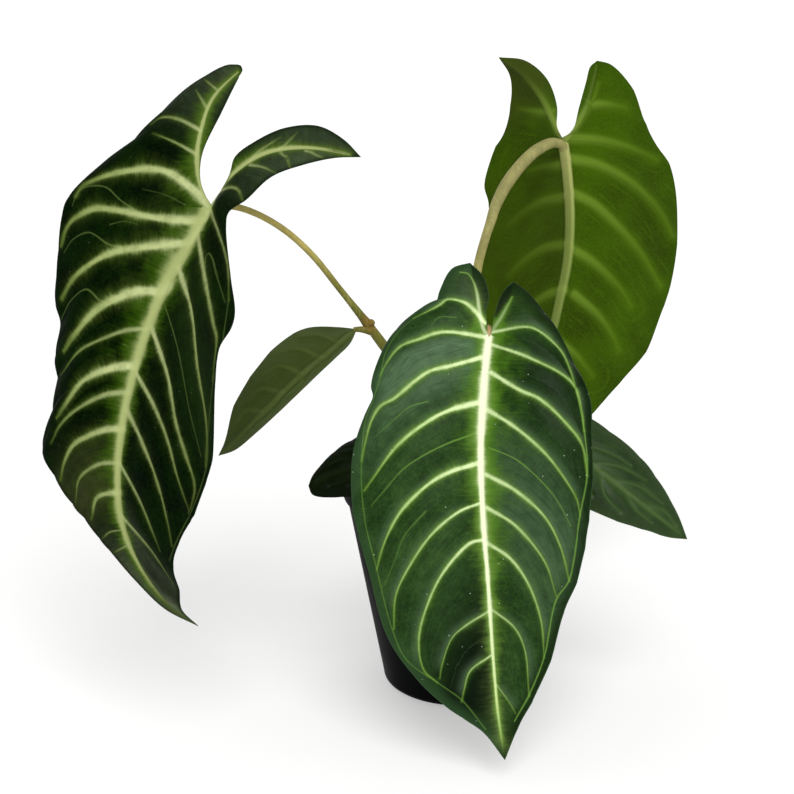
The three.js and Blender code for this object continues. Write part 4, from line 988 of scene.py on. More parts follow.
def upper_veins(leaf, panel):
    """Green halos and paler edges round the veins, then the pale veins and ribs themselves."""
    g, look = leaf.g, leaf.look
    vein_feather = leaf.streaks(leaf.vein_run, leaf.vein, (0.9, 0.12), 3.0)
    rib_feather = leaf.streaks(leaf.rib_run, leaf.rib, (0.8, 0.10), 8.0)
    uneven = g.smooth(g.noise(g.at, 90.0), 0.25, 0.75, 0.65, 1.4)

    def steps(gap, feather, reach, low, high):
        drawn = g.times(g.smooth(feather, 0.25, 0.75, low, high), uneven)
        return leaf.past(gap, g.times(drawn, reach))

    def glow(gap, feather, reach):
        """1 at the vein, fading over its reach, further out where the feather says."""
        return g.fade(steps(gap, feather, reach, *look["feather"]))

    def core(gap, feather, blur):
        """1 over the vein, with a soft round shoulder."""
        away = steps(gap, feather, blur, 0.85, 1.15)
        return g.fade(g.times(away, away))

    def along(ends):
        return g.smooth(leaf.from_base, 0.0, 1.0, *ends)

    strength = g.smooth(leaf.vein_half, 0.0, look["full_half"], 0.15, 1.0)
    ending = g.smooth(leaf.vein_share, 0.7, 1.0, 1.0, look["end_mix"])
    faded = g.smooth(leaf.vein_share, look["fade_from"], 1.0, *look["vein_reach"])
    vein_reach = g.times(faded, leaf.by_half(1.0, look["right_reach"]))
    outer = g.times(glow(leaf.vein, vein_feather, vein_reach), look["vein_glow"],
                    g.math("POWER", strength, 0.5))
    rib_reach = g.times(along(look["rib_reach"]), g.smooth(leaf.station, -0.35, 0.0, look["lobe_reach"], 1.0),
                        leaf.by_half(*look["rib_sides"]))
    outer = g.math("MAXIMUM", outer, glow(leaf.rib, rib_feather, rib_reach))
    outer = g.times(outer, g.smooth(leaf.station, look["tip_from"], 1.0, 1.0, 0.1))
    green = g.mix(g.smooth(outer, 0.12, 0.8), panel, look["halo"])

    inner_reach = g.times(leaf.vein_half, look["inner_reach"])
    near_vein = g.times(glow(leaf.vein, vein_feather, inner_reach), look["inner_mix"])
    green = g.mix(g.times(near_vein, g.times(strength, ending)), green, look["inner"])
    lobe = g.smooth(leaf.rib_run, LOBE_RUN - 2.0, LOBE_RUN)
    lobe_mix = g.times(leaf.by_half(look["lobe_rib"], look["lobe_right"]),
                       g.smooth(leaf.from_base, look["lobe_fade"], 1.0, 1.0, 0.0))
    on_lobe = g.math("ADD", g.math("SUBTRACT", 1.0, lobe), g.times(lobe, lobe_mix))
    near_rib = g.times(glow(leaf.rib, rib_feather, look["rib_inner_reach"]), along(look["rib_inner_mix"]))
    green = g.mix(g.times(near_rib, on_lobe), green, look["rib_inner"])

    thin = g.times(core(leaf.fine, vein_feather, 0.25), look["fine_mix"],
                   g.smooth(leaf.fine_half, 0.03, 0.3 * look["full_half"], 0.1, 1.0))
    green = g.mix(thin, green, look["fine"])
    blur = g.times(leaf.vein_half, look["vein_blur"])
    pale = g.times(core(leaf.vein, vein_feather, blur), g.times(strength, look["vein_mix"]),
                   leaf.by_half(1.0, look["right_mix"]), ending,
                   g.smooth(g.noise(g.at, 240.0), 0.3, 0.6, 0.7, 1.0))
    color = g.mix(pale, green, g.mix(leaf.vein_share, look["vein"], look["vein_end"]))
    rib_blur = g.times(leaf.rib_half, look["rib_blur"])
    ribbed = g.times(core(leaf.rib, rib_feather, rib_blur), along(look["rib_mix"]), on_lobe,
                     g.smooth(leaf.station, look["rib_fade"], 1.0, 1.0, 0.1))
    return g.mix(ribbed, color, g.mix(g.smooth(leaf.from_base, 0.5, 1.0), look["rib"], look["rib_end"]))


def leaf_upper(name, look):
    """Dark panels, and pale veins with green feathered edges."""
    leaf = Leaf(name, look)
    g = leaf.g
    patchy = g.smooth(g.noise(g.at, 55.0, 4.0), 0.3, 0.75)
    color = upper_veins(leaf, upper_panel(leaf, patchy))
    # Toward the tip: painted sheen, grey-green, on the left blade; a darker tip on the front blade
    color = g.mix(g.smooth(leaf.station, look["tip_from"], 1.0, 0.0, look["tip_mix"]), color, look["tip"])
    # A paler line along the very margin: painted highlight on its edge
    color = g.mix(g.near(leaf.rim, 0.7, look["edge_mix"]), color, look["edge"])
    specks = g.smooth(g.cells(260.0), 0.04, 0.09, 1.0, 0.0)
    chosen = g.smooth(g.noise(g.at, 120.0, 1.0), 0.56, 0.6)
    color = g.mix(g.times(specks, chosen, look["specks"]), color, rgb(170, 190, 170))
    swells = g.bump(g.noise(g.at, 110.0, 2.0), 0.0006, 0.5)
    grain = g.math("ADD", g.cells(1500.0), g.noise(g.at, 900.0, 2.0))
    rough = g.smooth(patchy, 0.0, 1.0, look["rough"] - 0.03, look["rough"] + 0.05)
    return g.finish(color=color, roughness=rough, normal=g.bump(grain, 0.00005, 0.6, swells),
                    specular=look["specular"])


def leaf_under(name, look):
    """Matt, paler green with raised veins that fade into the blade."""
    leaf = Leaf(name, look)
    g = leaf.g
    color = g.two_tone(g.noise(g.at, 30.0, 4.0), look["dark"], look["light"])
    lines = leaf.streaks(leaf.vein, leaf.vein_run, (0.7, 0.04), 5.0, 2.0)
    color = g.mix(g.smooth(lines, 0.5, 0.75, 0.0, 0.35), color, look["halo"])
    color = g.mix(g.near(g.cells(420.0, "DISTANCE_TO_EDGE"), 0.16, 0.10), color, look["vein"])
    color = g.mix(g.near(leaf.rim, 8.0, 0.45), color, look["rim"])
    color = g.mix(g.times(g.fade(leaf.past(leaf.vein, 3.0)), look["glow"]), color, look["halo"])
    away = leaf.past(leaf.vein, look["vein_blur"])
    lined = g.times(g.fade(g.times(away, away)), g.smooth(leaf.vein_share, 0.0, 1.0, look["vein_mix"], 0.15))
    color = g.mix(lined, color, look["vein"])
    color = g.mix(g.smooth(leaf.fine, -0.1, 0.6, 0.3, 0.0), color, look["vein"])
    ribbed = g.times(g.smooth(leaf.rib, -0.9, 0.9, 1.0, 0.0), g.smooth(leaf.from_base, 0.0, 0.7, 1.0, 0.5),
                     g.smooth(leaf.rib_run, LOBE_RUN - 1.0, LOBE_RUN, 1.0, look["lobe_rib"]))
    color = g.mix(ribbed, color, g.mix(g.smooth(leaf.from_base, 0.0, 0.3), look["rib_top"], look["rib"]))
    # Patches of painted shade by place: a darker, greyer olive on the left half near the base
    for half, middle, spread, tone, share in look["tones"]:
        on_half = g.smooth(g.times(leaf.side, float(half)), -0.5, 0.5)
        color = g.mix(g.times(leaf.around(middle, spread, share), on_half), color, tone)
    grain = g.math("ADD", g.cells(1100.0), g.noise(g.at, 500.0))
    return g.finish(color=color, roughness=look["rough"], normal=g.bump(grain, 0.00008, 0.6),
                    specular=look["specular"])


# Looks of the blades: colours, how strong each part is, and reaches in mm. Blurs and inner_reach are in half
# widths. Pairs are values at base and tip, except rib_sides (left and right) and feather (least and most).
# Tones are half, vein position, spread, colour and share. They paint patches of sheen, greyer and paler, and
# of shade, darker.
FRONT = {
    "dark": rgb(22, 44, 12), "panel": rgb(40, 66, 28), "halo": rgb(66, 106, 18), "inner": rgb(120, 154, 60),
    "rib_inner": rgb(150, 178, 96), "vein": rgb(214, 232, 176), "vein_end": rgb(136, 172, 78),
    "rib": rgb(230, 236, 200), "rib_end": rgb(190, 214, 130), "fine": rgb(104, 146, 60),
    "rim": rgb(38, 64, 34), "rim_right": rgb(8, 26, 3), "edge": rgb(66, 96, 58), "tip": rgb(16, 36, 6),
    "tip_from": 0.93, "tip_mix": 1.0, "rib_fade": 0.82,
    "tones": [(-1, 0.03, 0.14, rgb(72, 98, 68), 0.85), (1, 0.0, 0.24, rgb(12, 32, 6), 0.9),
              (1, 0.32, 0.22, rgb(54, 76, 50), 0.75), (-1, 0.74, 0.36, rgb(0, 12, 0), 1.0),
              (1, 1.0, 0.3, rgb(30, 52, 12), 0.7), (-1, -0.6, 0.4, rgb(46, 64, 36), 0.8),
              (1, -0.6, 0.5, rgb(26, 48, 12), 0.8)],
    "vein_reach": (2.2, 1.0), "rib_reach": (11.0, 1.4), "rib_sides": (0.65, 1.0), "end_mix": 0.6,
    "fold_reach": 3.2, "fold_mix": 0.42, "fold_painted_light": rgb(84, 108, 78), "fold_painted_shade": rgb(20, 44, 6),
    "vein_glow": 0.8, "fade_from": 0.3,
    "inner_reach": 3.0, "inner_mix": 0.6, "rib_inner_reach": 1.6, "rib_inner_mix": (0.8, 0.4),
    "full_half": 0.42, "fine_mix": 0.55, "feather": (0.8, 1.25), "vein_blur": 1.9, "vein_mix": 1.0,
    "rib_mix": (1.0, 0.85), "rib_blur": 1.35, "lobe_rib": 0.4, "lobe_right": 0.17, "lobe_reach": 0.2,
    "lobe_fade": 0.4, "rim_mix": 0.8, "rim_reach": 9.0, "sinus": rgb(8, 24, 4), "sinus_mix": 0.8,
    "edge_mix": 0.5, "specks": 0.9, "right_reach": 0.8, "right_mix": 0.78, "net": 0.045, "rough": 0.4,
    "specular": 0.05,
}
# The left blade's look: the front's, darker all over, partly its own deeper green and partly painted shade,
# as the blade gets less light
LEFT_SHADED = {
    **FRONT, "dark": rgb(0, 8, 0), "panel": rgb(4, 22, 1), "halo": rgb(40, 68, 1), "inner": rgb(96, 118, 42),
    "rib_inner": rgb(104, 124, 54), "vein": rgb(188, 196, 142), "vein_end": rgb(138, 152, 84),
    "rib": rgb(162, 171, 112), "rib_end": rgb(140, 148, 96), "fine": rgb(96, 116, 58),
    "rim": rgb(5, 20, 3), "rim_right": rgb(3, 18, 2), "edge": rgb(30, 42, 26), "tip": rgb(50, 58, 40),
    "tip_from": 0.86, "tip_mix": 0.55, "rib_fade": 0.78,
    "tones": [(-1, -0.95, 0.7, rgb(46, 56, 38), 0.9), (1, -0.75, 0.75, rgb(50, 62, 42), 0.95),
              (-1, 0.62, 0.16, rgb(52, 58, 28), 0.6), (1, 1.0, 0.42, rgb(88, 96, 76), 1.0),
              (1, 0.12, 0.15, rgb(26, 44, 14), 0.45), (1, 0.78, 0.1, rgb(10, 16, 4), 0.7),
              (-1, 0.9, 0.22, rgb(58, 66, 46), 1.0), (-1, 1.0, 0.07, rgb(16, 28, 8), 1.0)],
    "vein_reach": (2.6, 1.4), "rib_reach": (10.0, 2.2), "rib_sides": (1.15, 0.8), "end_mix": 0.35,
    "fold_mix": 0.0, "inner_reach": 3.2, "full_half": 0.85, "rib_inner_mix": (0.8, 0.5), "vein_blur": 2.0,
    "rib_blur": 1.4, "feather": (0.75, 1.3), "specks": 0.15, "vein_mix": 0.95, "rib_mix": (0.82, 0.85),
    "lobe_rib": 0.9, "lobe_right": 1.0, "lobe_reach": 0.6, "lobe_fade": 0.9, "rim_reach": 2.6,
    "sinus": rgb(20, 32, 14), "sinus_mix": 0.5, "right_reach": 0.45, "right_mix": 1.0, "net": 0.015,
    "rough": 0.5, "specular": 0.012,
}
MID = {
    **FRONT, "dark": rgb(26, 44, 16), "panel": rgb(38, 58, 24), "halo": rgb(44, 66, 28),
    "vein": rgb(60, 82, 38), "rib": rgb(68, 88, 44), "tip": rgb(34, 52, 22), "sinus": rgb(30, 48, 18),
    **dict.fromkeys(("inner", "vein_end", "fine"), rgb(50, 72, 32)),
    **dict.fromkeys(("rib_inner", "rib_end"), rgb(56, 78, 36)),
    **dict.fromkeys(("rim", "rim_right"), rgb(42, 60, 28)),
    "full_half": 0.1, "tones": [], "fold_mix": 0.0, "vein_blur": 1.5, "vein_mix": 0.5, "rib_blur": 1.0,
    "specks": 0.0, "lobe_rib": 1.0, "lobe_right": 1.0, "rough": 0.42, "specular": 0.12,
}
# The low blade's look: near black, painted shade for the deep shadow it lies in
DEEP_SHADE = {
    **MID, "dark": rgb(5, 12, 1), "panel": rgb(10, 19, 3), "halo": rgb(13, 23, 5), "vein": rgb(19, 30, 9),
    "rib": rgb(20, 32, 9), "rib_inner": rgb(18, 29, 8), "edge": rgb(18, 26, 10),
    **dict.fromkeys(("inner", "vein_end", "fine", "rib_end"), rgb(16, 26, 7)),
    **dict.fromkeys(("sinus", "tip"), rgb(8, 15, 2)),
    **dict.fromkeys(("rim", "rim_right"), rgb(11, 19, 5)), "specular": 0.04,
}
UNDER = {
    "dark": rgb(38, 56, 1), "light": rgb(50, 76, 0), "halo": rgb(66, 96, 4), "vein": rgb(92, 118, 34),
    "rib": rgb(134, 148, 78), "rib_top": rgb(156, 158, 96), "rim": rgb(44, 70, 3), "glow": 0.6,
    "lobe_rib": 0.3, "rough": 0.6, "vein_blur": 1.9, "vein_mix": 0.85, "specular": 0.03,
    "tones": [(-1, -0.8, 0.7, rgb(52, 58, 18), 0.7), (-1, 0.2, 0.5, rgb(50, 62, 8), 0.4)],
}
OLIVE = {
    "dark": rgb(46, 60, 18), "light": rgb(60, 74, 28), "halo": rgb(60, 76, 30), "vein": rgb(66, 80, 34),
    "rib": rgb(70, 84, 36), "rib_top": rgb(70, 84, 36), "rim": rgb(68, 76, 46), "glow": 0.3,
    "lobe_rib": 1.0, "rough": 0.55, "vein_blur": 0.9, "vein_mix": 0.8, "specular": 0.12, "tones": [],
}

# Per blade: half widths in mm of midrib and lobe ribs at shares of their length, the scale of the side veins
# and of the lobe ribs on the left and right, and where drawn, the lobe ribs, rounded tips and wave scales
thin_rib = ([0, 0.5, 1], [0.9, 0.7, 0.3])
blade_look = {
    "front": {
        "midrib": ([0, 0.15, 0.5, 0.85, 1], [0.95, 0.9, 0.54, 0.3, 0.15]),
        "lobe": ([0, 0.5, 1], [0.42, 0.3, 0.12]), "veins": (0.28, 0.28),
        "lobes": [
            [(-1, -1.5), (-2.6, -3.5), (-5, -14), (-6, -21.5), (-8, -28), (-10.6, -31.6), (-13.8, -32.2)],
            [(1, -1.5), (2, -3.5), (6.3, -10), (9.3, -15.5), (11.3, -19.3)],
        ],
    },
    "left": {
        "midrib": ([0, 0.15, 0.3, 0.6, 0.85, 1], [2.3, 1.9, 1.4, 1.0, 0.6, 0.2]),
        "lobe": ([0, 0.5, 1], [0.6, 0.42, 0.15]), "veins": (0.4, 0.42), "lobe_widths": (1.0, 1.6),
        "round": [((17.2, -71.5), (12.6, -68.7), 3.0)], "wave": (1.0, 0.25),
    },
    "back": {
        "midrib": ([0, 0.5, 1], [2.6, 2.1, 0.8]), "lobe": ([0, 0.5, 1], [1.4, 0.9, 0.4]), "veins": (0.7, 0.7),
    },
    "right": {"midrib": thin_rib, "lobe": thin_rib, "veins": (0.8, 0.8)},
    "low": {"midrib": thin_rib, "lobe": thin_rib, "veins": (0.8, 0.8)},
    "side": {"midrib": ([0, 0.5, 1], [1.2, 0.9, 0.4]), "veins": (0.8, 0.8)},
}
looks = {
    "front": (FRONT, UNDER), "left": (LEFT_SHADED, UNDER), "back": (FRONT, UNDER), "right": (MID, UNDER),
    "low": (DEEP_SHADE, OLIVE), "side": (MID, OLIVE),
}
# Rows of the body, rows of the lobes, and columns of each half's mesh
sizes = {
    "front": (300, 62, 66), "left": (300, 90, 60), "back": (240, 70, 60), "right": (150, 36, 44),
    "low": (120, 36, 40), "side": (150, 0, 40),
}
coarser = 1
for name, counts in sizes.items():
    upper, under = looks[name]
    skins = [leaf_upper(f"{name}_upper", upper), leaf_under(f"{name}_under", under)]
    blade_piece(name, *(count // coarser for count in counts), skins)


def frames_along(points):
    """Two unit vectors square to a line at each of its points, with no twist."""
    tangent = np.gradient(points, axis=0)
    tangent /= np.linalg.norm(tangent, axis=1)[:, None]
    first = np.cross(tangent[0], [0.3, 1.0, 0.2])
    first /= np.linalg.norm(first)
    firsts = [first]
    for t in tangent[1:]:
        first = firsts[-1] - t * (firsts[-1] @ t)
        firsts.append(first / np.linalg.norm(first))
    firsts = np.array(firsts)
    return firsts, np.cross(tangent, firsts)


def turns(sides):
    return np.linspace(0, 2 * math.pi, sides, endpoint=False)


def ring_faces(rings, sides):
    """Triangles round rings of points, closed at both ends by a middle point that comes after them."""
    index = np.arange(rings * sides).reshape(rings, sides)
    faces = [grid_faces(np.concatenate([index, index[:, :1]], 1))[:, ::-1]]
    start, stop = index.size, index.size + 1
    for k in range(sides):
        after = (k + 1) % sides
        faces.append([[start, index[0, after], index[0, k]], [stop, index[-1, k], index[-1, after]]])
    return np.concatenate(faces)


def tube(points, radii):
    """Closed round tube from the radius at each point and each turn: points and triangles."""
    sides = radii.shape[1]
    turn = turns(sides)
    one, other = frames_along(points)
    ring = one[:, None, :] * np.cos(turn)[None, :, None] + other[:, None, :] * np.sin(turn)[None, :, None]
    places = (points[:, None, :] + ring * radii[:, :, None]).reshape(-1, 3)
    return np.concatenate([places, points[[0, -1]]]), ring_faces(len(points), sides)


def turned(profile, sides):
    """Points and triangles of a closed round piece from [radius, height] pairs, from axis to axis."""
    profile = np.array(profile, float)
    ring = np.stack([np.cos(turns(sides)), np.sin(turns(sides))], -1)
    rows = profile[1:-1]
    places = np.concatenate([rows[:, None, :1] * ring[None], np.repeat(rows[:, None, 1:], sides, 1)], -1)
    ends = [[0, 0, profile[0, 1]], [0, 0, profile[-1, 1]]]
    return np.concatenate([places.reshape(-1, 3), ends]), ring_faces(len(rows), sides)


def joined(parts):
    """One set of points and triangles from several."""
    places = [part[0] for part in parts]
    before = np.cumsum([0] + [len(points) for points in places])
    return np.concatenate(places), np.concatenate([part[1] + count for part, count in zip(parts, before)])


def stalk_material(name, top, middle, knob, end, place):
    """Tones by height, with fine lines along the stalk. The end takes the tone of the blade's rib; the front
    stalk's end is a paler pinkish tan, its own tone brightened as painted light where the blade shades it.
    """
    g = Graph(name)
    # Heights and distances in metres
    height = g.parts(g.at)[2]
    from_bud = g.distance(NODE["bud"]["route"][2])
    color = g.mix(g.smooth(height, 0.262, 0.222, 0.0, 1.0), top, middle)
    color = g.mix(g.smooth(from_bud, 0.002, 0.009, 0.85, 0.0), color, knob)
    color = g.mix(g.smooth(height, 0.15, 0.11, 0.0, 0.8), color, rgb(120, 116, 62))
    streaks = g.noise(g.stretched((900.0, 900.0, 60.0)), 1.0)
    color = g.mix(g.smooth(streaks, 0.5, 0.75, 0.0, 0.25), color, rgb(196, 186, 128))
    color = g.mix(g.smooth(streaks, 0.5, 0.25, 0.0, 0.2), color, rgb(84, 78, 34))
    color = g.shaded(color, g.smooth(g.noise(g.at, 120.0, 4.0), 0.3, 0.7, 0.82, 1.08))
    # The end's tone; at the front stalk's end it is brightened as painted light where the blade shades it
    color = g.mix(g.smooth(g.distance(place), 0.004, 0.014, 0.9, 0.0), color, end)
    return g.finish(color=color, roughness=0.5, normal=g.bump(streaks, 0.0001, 0.5), specular=0.12)


def pot_material():
    g = Graph("pot_plastic")
    cloudy = g.noise(g.at, 30.0, 4.0)
    color = g.two_tone(cloudy, rgb(5, 6, 6), rgb(11, 12, 12))
    normal = g.bump(g.noise(g.at, 1400.0, 2.0), 0.00005, 0.5)
    rough = g.smooth(cloudy, 0.3, 0.7, 0.42, 0.56)
    return g.finish(color=color, roughness=rough, normal=normal, specular=0.016)


def soil_material():
    g = Graph("potting_mix")
    crumbs = g.cells(420.0)
    clods = g.noise(g.at, 130.0, 6.0, 0.65)
    color = g.two_tone(clods, rgb(28, 20, 14), rgb(66, 50, 36))
    color = g.mix(g.near(crumbs, 0.5, 0.5), color, rgb(88, 66, 44))
    normal = g.bump(g.math("ADD", crumbs, clods), 0.0008, 1.0)
    return g.finish(color=color, roughness=0.9, normal=normal, specular=0.25)


def crumbs_material():
    """White grains where the tone field says 1, bark elsewhere."""
    g = Graph("crumbs")
    bark = g.two_tone(g.noise(g.at, 600.0, 4.0), rgb(46, 30, 18), rgb(104, 74, 46))
    stone = g.two_tone(g.noise(g.at, 900.0), rgb(188, 182, 170), rgb(232, 228, 218))
    color = g.mix(g.smooth(g.field("tone")[0], 0.4, 0.6), bark, stone)
    normal = g.bump(g.noise(g.at, 1500.0, 4.0), 0.0003)
    return g.finish(color=color, roughness=0.85, normal=normal, specular=0.25)


def stem_material():
    g = Graph("stem_bark")
    banded = g.noise(g.stretched((60.0, 60.0, 900.0)), 1.0)
    color = g.two_tone(banded, rgb(84, 66, 38), rgb(132, 120, 70))
    color = g.mix(g.smooth(g.noise(g.at, 220.0, 4.0), 0.5, 0.75), color, rgb(60, 44, 26))
    return g.finish(color=color, roughness=0.7, normal=g.bump(banded, 0.0006, 0.8), specular=0.3)


# Tones of a stalk's top, middle and node, and the tone of its end at the blade; the front end is brightened
# as painted light where the blade shades it
tan = (rgb(172, 158, 88), rgb(108, 108, 44), rgb(122, 96, 42))
pale = (rgb(140, 136, 84), rgb(148, 142, 84), rgb(140, 132, 70))
stalk_ends = {"left": rgb(168, 156, 88), "front": rgb(200, 160, 116), "back": rgb(152, 154, 92),
              "right": rgb(90, 104, 44), "low": rgb(60, 70, 30)}
# The pot, its drain holes, the level of the mix and the stem in mm
POT = {"height": 118, "rim": 65, "rimHeight": 9, "top": 63, "base": 43, "edge": 5, "wall": 1.6, "floor": 2.4}
DRAIN = {"count": 6, "radius": 4.5, "ring": 29}
SOIL_TOP = 103
STEM = {"radius": 13, "bottom": 78, "top": 110}
# Gap between pieces that stand in each other
GAP = 0.3
# Heights of a stalk's foot: on the floor of its socket in the stem, and where it leaves the stem
SOCKET = (100 + GAP, STEM["top"])


def stalk_piece(name):
    data = STALKS[name]
    step, sides, smoothed = 0.9, 28, 13
    curve = Curve([[*data["foot"], height] for height in SOCKET] + data["route"])
    share = np.linspace(0, 1, int(curve.length / step) + 1)
    points = curve.along(share)
    radii = np.interp(share, data["radiiAt"], data["radii"])
    padded = np.pad(radii, smoothed // 2, mode="edge")
    radii = np.convolve(padded, np.ones(smoothed) / smoothed, mode="valid")
    table = np.repeat(radii[:, None], sides, 1)
    # A shallow groove along the side that faces the leaf, and a slightly uneven thickness
    groove, unevenness, waves_per_mm = 0.05, 0.012, 0.35
    table *= 1 - groove * np.maximum(0, np.cos(turns(sides) - 1.0))[None, :] ** 6
    along = np.sin(share * curve.length * waves_per_mm)[:, None]
    table *= 1 + unevenness * along * np.cos(2 * turns(sides) + 0.6)[None, :]
    parts = []
    if name == "left":
        here = np.linalg.norm(points - np.array(NODE["place"]), axis=1)
        swelling, reach = 0.35, 3.0
        table += (swelling * np.exp(-(here / reach) ** 2))[:, None]
        for key in ("sheath", "bud"):
            share = np.linspace(0, 1, NODE[key]["rings"])
            width = np.interp(share, NODE[key]["radiiAt"], NODE[key]["radii"])
            parts.append(tube(Curve(NODE[key]["route"]).along(share), np.repeat(width[:, None], 24, 1)))
    places, faces = joined([tube(points, table), *parts])
    skin = stalk_material(f"{name}_stalk_skin", *(pale if name == "back" else tan), stalk_ends[name],
                          data["route"][-1])
    piece = mesh_object(f"{name}_petiole", places, faces, [skin])
    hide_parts(f"{name}_stalk")
    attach(piece, "root")


def wall_radius(z):
    top = POT["height"] - POT["rimHeight"]
    return POT["base"] + (POT["top"] - POT["base"]) * (z - POT["edge"]) / (top - POT["edge"])


def settle(piece):
    """Turns a piece's modifiers into its mesh."""
    bpy.context.view_layer.update()
    graph = bpy.context.evaluated_depsgraph_get()
    mesh = bpy.data.meshes.new_from_object(piece.evaluated_get(graph))
    piece.modifiers.clear()
    piece.data = mesh
    mesh.polygons.foreach_set("use_smooth", np.ones(len(mesh.polygons), bool))
    mesh.set_sharp_from_angle(angle=math.radians(38))


def drill(piece):
    """Cuts the drain holes through the pot's floor."""
    cutter = bmesh.new()
    for k in range(DRAIN["count"]):
        turn = 2 * math.pi * (k + 0.5) / DRAIN["count"]
        made = bmesh.ops.create_cone(cutter, cap_ends=True, segments=28, radius1=DRAIN["radius"] * MM,
                                     radius2=DRAIN["radius"] * MM, depth=0.02)
        bmesh.ops.translate(cutter, verts=made["verts"],
                            vec=(DRAIN["ring"] * math.cos(turn) * MM, DRAIN["ring"] * math.sin(turn) * MM, 0))
    tool = bpy.data.objects.new("drill", bpy.data.meshes.new("drill"))
    cutter.to_mesh(tool.data)
    cutter.free()
    bpy.context.scene.collection.objects.link(tool)
    modifier = piece.modifiers.new("drain", "BOOLEAN")
    modifier.operation = "DIFFERENCE"
    modifier.object = tool
    settle(piece)
    bpy.data.objects.remove(tool)


def pot_piece():
    height, rim, edge, floor = POT["height"], POT["rim"], POT["edge"], POT["floor"]
    rim_foot = height - POT["rimHeight"]
    corner = [[POT["base"] - edge + edge * math.sin(a), edge - edge * math.cos(a)]
              for a in np.linspace(0, math.pi / 2, 7)]
    outer = [[wall_radius(z), z] for z in np.linspace(edge, rim_foot, 26)[1:-1]]
    lip = [[rim - 0.6, rim_foot], [rim - 0.15, rim_foot + 0.25], [rim, rim_foot + 0.8], [rim, height - 1.2],
           [rim - 0.35, height - 0.35], [rim - 1.2, height], [rim - 2.4, height], [rim - 3.0, height - 0.5]]
    inner = [[wall_radius(z) - POT["wall"], z] for z in np.linspace(rim_foot, edge, 20)]
    profile = [[0, 0], [8, 0], [16, 0], [24, 0], [34, 0], *corner, *outer, [POT["top"], rim_foot], *lip,
               *inner, [POT["base"] - edge, floor], [24, floor], [16, floor], [0, floor]]
    piece = mesh_object("nursery_pot", *turned(profile, 160), [pot_material()])
    drill(piece)
    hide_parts("pot")
    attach(piece, "root")


def bumps(x, y, seed, waves, reach):
    """A repeatable uneven field from a few crossing waves."""
    draw = np.random.default_rng(seed)
    total = np.zeros_like(x)
    for _ in range(waves):
        turn, pitch, phase = draw.uniform(0, 2 * math.pi), draw.uniform(*reach), draw.uniform(0, 2 * math.pi)
        total += np.sin((x * math.cos(turn) + y * math.sin(turn)) * 2 * math.pi / pitch + phase)
    return total / math.sqrt(waves)


def inside_radius(z):
    return wall_radius(z) - POT["wall"] - GAP


def swell(x, y, out):
    """Height in mm of the mix's soft hills over its level, none at the wall."""
    hills = 1.2 * (np.sin(0.31 * x + 1.3) * np.cos(0.27 * y) + 0.6 * np.sin(0.83 * x + 0.71 * y))
    return hills * np.sin(np.pi * np.minimum(out / inside_radius(SOIL_TOP), 1))


def soil_piece():
    inner = inside_radius(SOIL_TOP)
    bore, floor = STEM["radius"] + GAP, POT["floor"] + GAP
    profile = [[0, floor], [POT["base"] - POT["edge"] - GAP, floor], [inside_radius(6), 6],
               [inside_radius(60), 60], *[[inner * s, SOIL_TOP] for s in np.linspace(1, 0.24, 70)],
               [bore, SOIL_TOP - 3], [bore, STEM["bottom"] - GAP], [0, STEM["bottom"] - GAP]]
    places, faces = turned(profile, 220)
    x, y = places[:, 0], places[:, 1]
    out = np.hypot(x, y)
    top = (places[:, 2] > SOIL_TOP - 0.01) & (out > STEM["radius"] + 0.5)
    grit = 0.45 * np.abs(bumps(x, y, 3, 9, (2.5, 6))) + 0.25 * bumps(x, y, 4, 9, (1.2, 2.5))
    fade = smoothstep(0, 2.5, inner - out) * smoothstep(STEM["radius"] + 0.5, STEM["radius"] + 3, out)
    places[:, 2] += np.where(top, swell(x, y, out) + (grit - 0.3) * fade, 0)
    piece = mesh_object("potting_mix", places, faces, [soil_material()])
    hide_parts("soil")
    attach(piece, "root")


def crumbs_piece():
    """Bark chips and white perlite grains bedded in the mix."""
    inner = inside_radius(SOIL_TOP)
    draw = np.random.default_rng(11)
    ball = bmesh.new()
    bmesh.ops.create_icosphere(ball, subdivisions=2, radius=1.0)
    base = np.array([v.co[:] for v in ball.verts])
    base_faces = np.array([[v.index for v in f.verts] for f in ball.faces])
    ball.free()
    parts, tones = [], []
    for _ in range(420):
        out = math.sqrt(draw.uniform(0.08, 0.92)) * (inner - 2.5)
        turn = draw.uniform(0, 2 * math.pi)
        white = draw.random() < 0.28
        size = draw.uniform(0.7, 1.5) if white else draw.uniform(0.9, 2.4)
        flat = 1.0 if white else draw.uniform(0.35, 0.6)
        stretch = draw.uniform(0.8, 1.2) if white else draw.uniform(0.7, 1.7)
        angle = draw.uniform(0, 2 * math.pi)
        rough = 1 + 0.16 * np.sin(base @ draw.normal(0, 2.6, 3) + draw.uniform(0, 6))
        rough += 0.1 * np.sin(base @ draw.normal(0, 5.0, 3) + draw.uniform(0, 6))
        if out < STEM["radius"] + 3:
            continue
        shape = base * rough[:, None] * size * (stretch, 1 / stretch, flat)
        cos, sin = math.cos(angle), math.sin(angle)
        shape = shape @ np.array([[cos, sin, 0], [-sin, cos, 0], [0, 0, 1]])
        x, y = out * math.cos(turn), out * math.sin(turn)
        parts.append((shape + (x, y, SOIL_TOP + swell(x, y, out) + 0.15 * size * flat), base_faces))
        tones.append(np.full((len(base), 3), float(white)))
    piece = mesh_object("mix_crumbs", *joined(parts), [crumbs_material()],
                        fields={"tone": np.concatenate(tones)})
    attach(piece, "root")


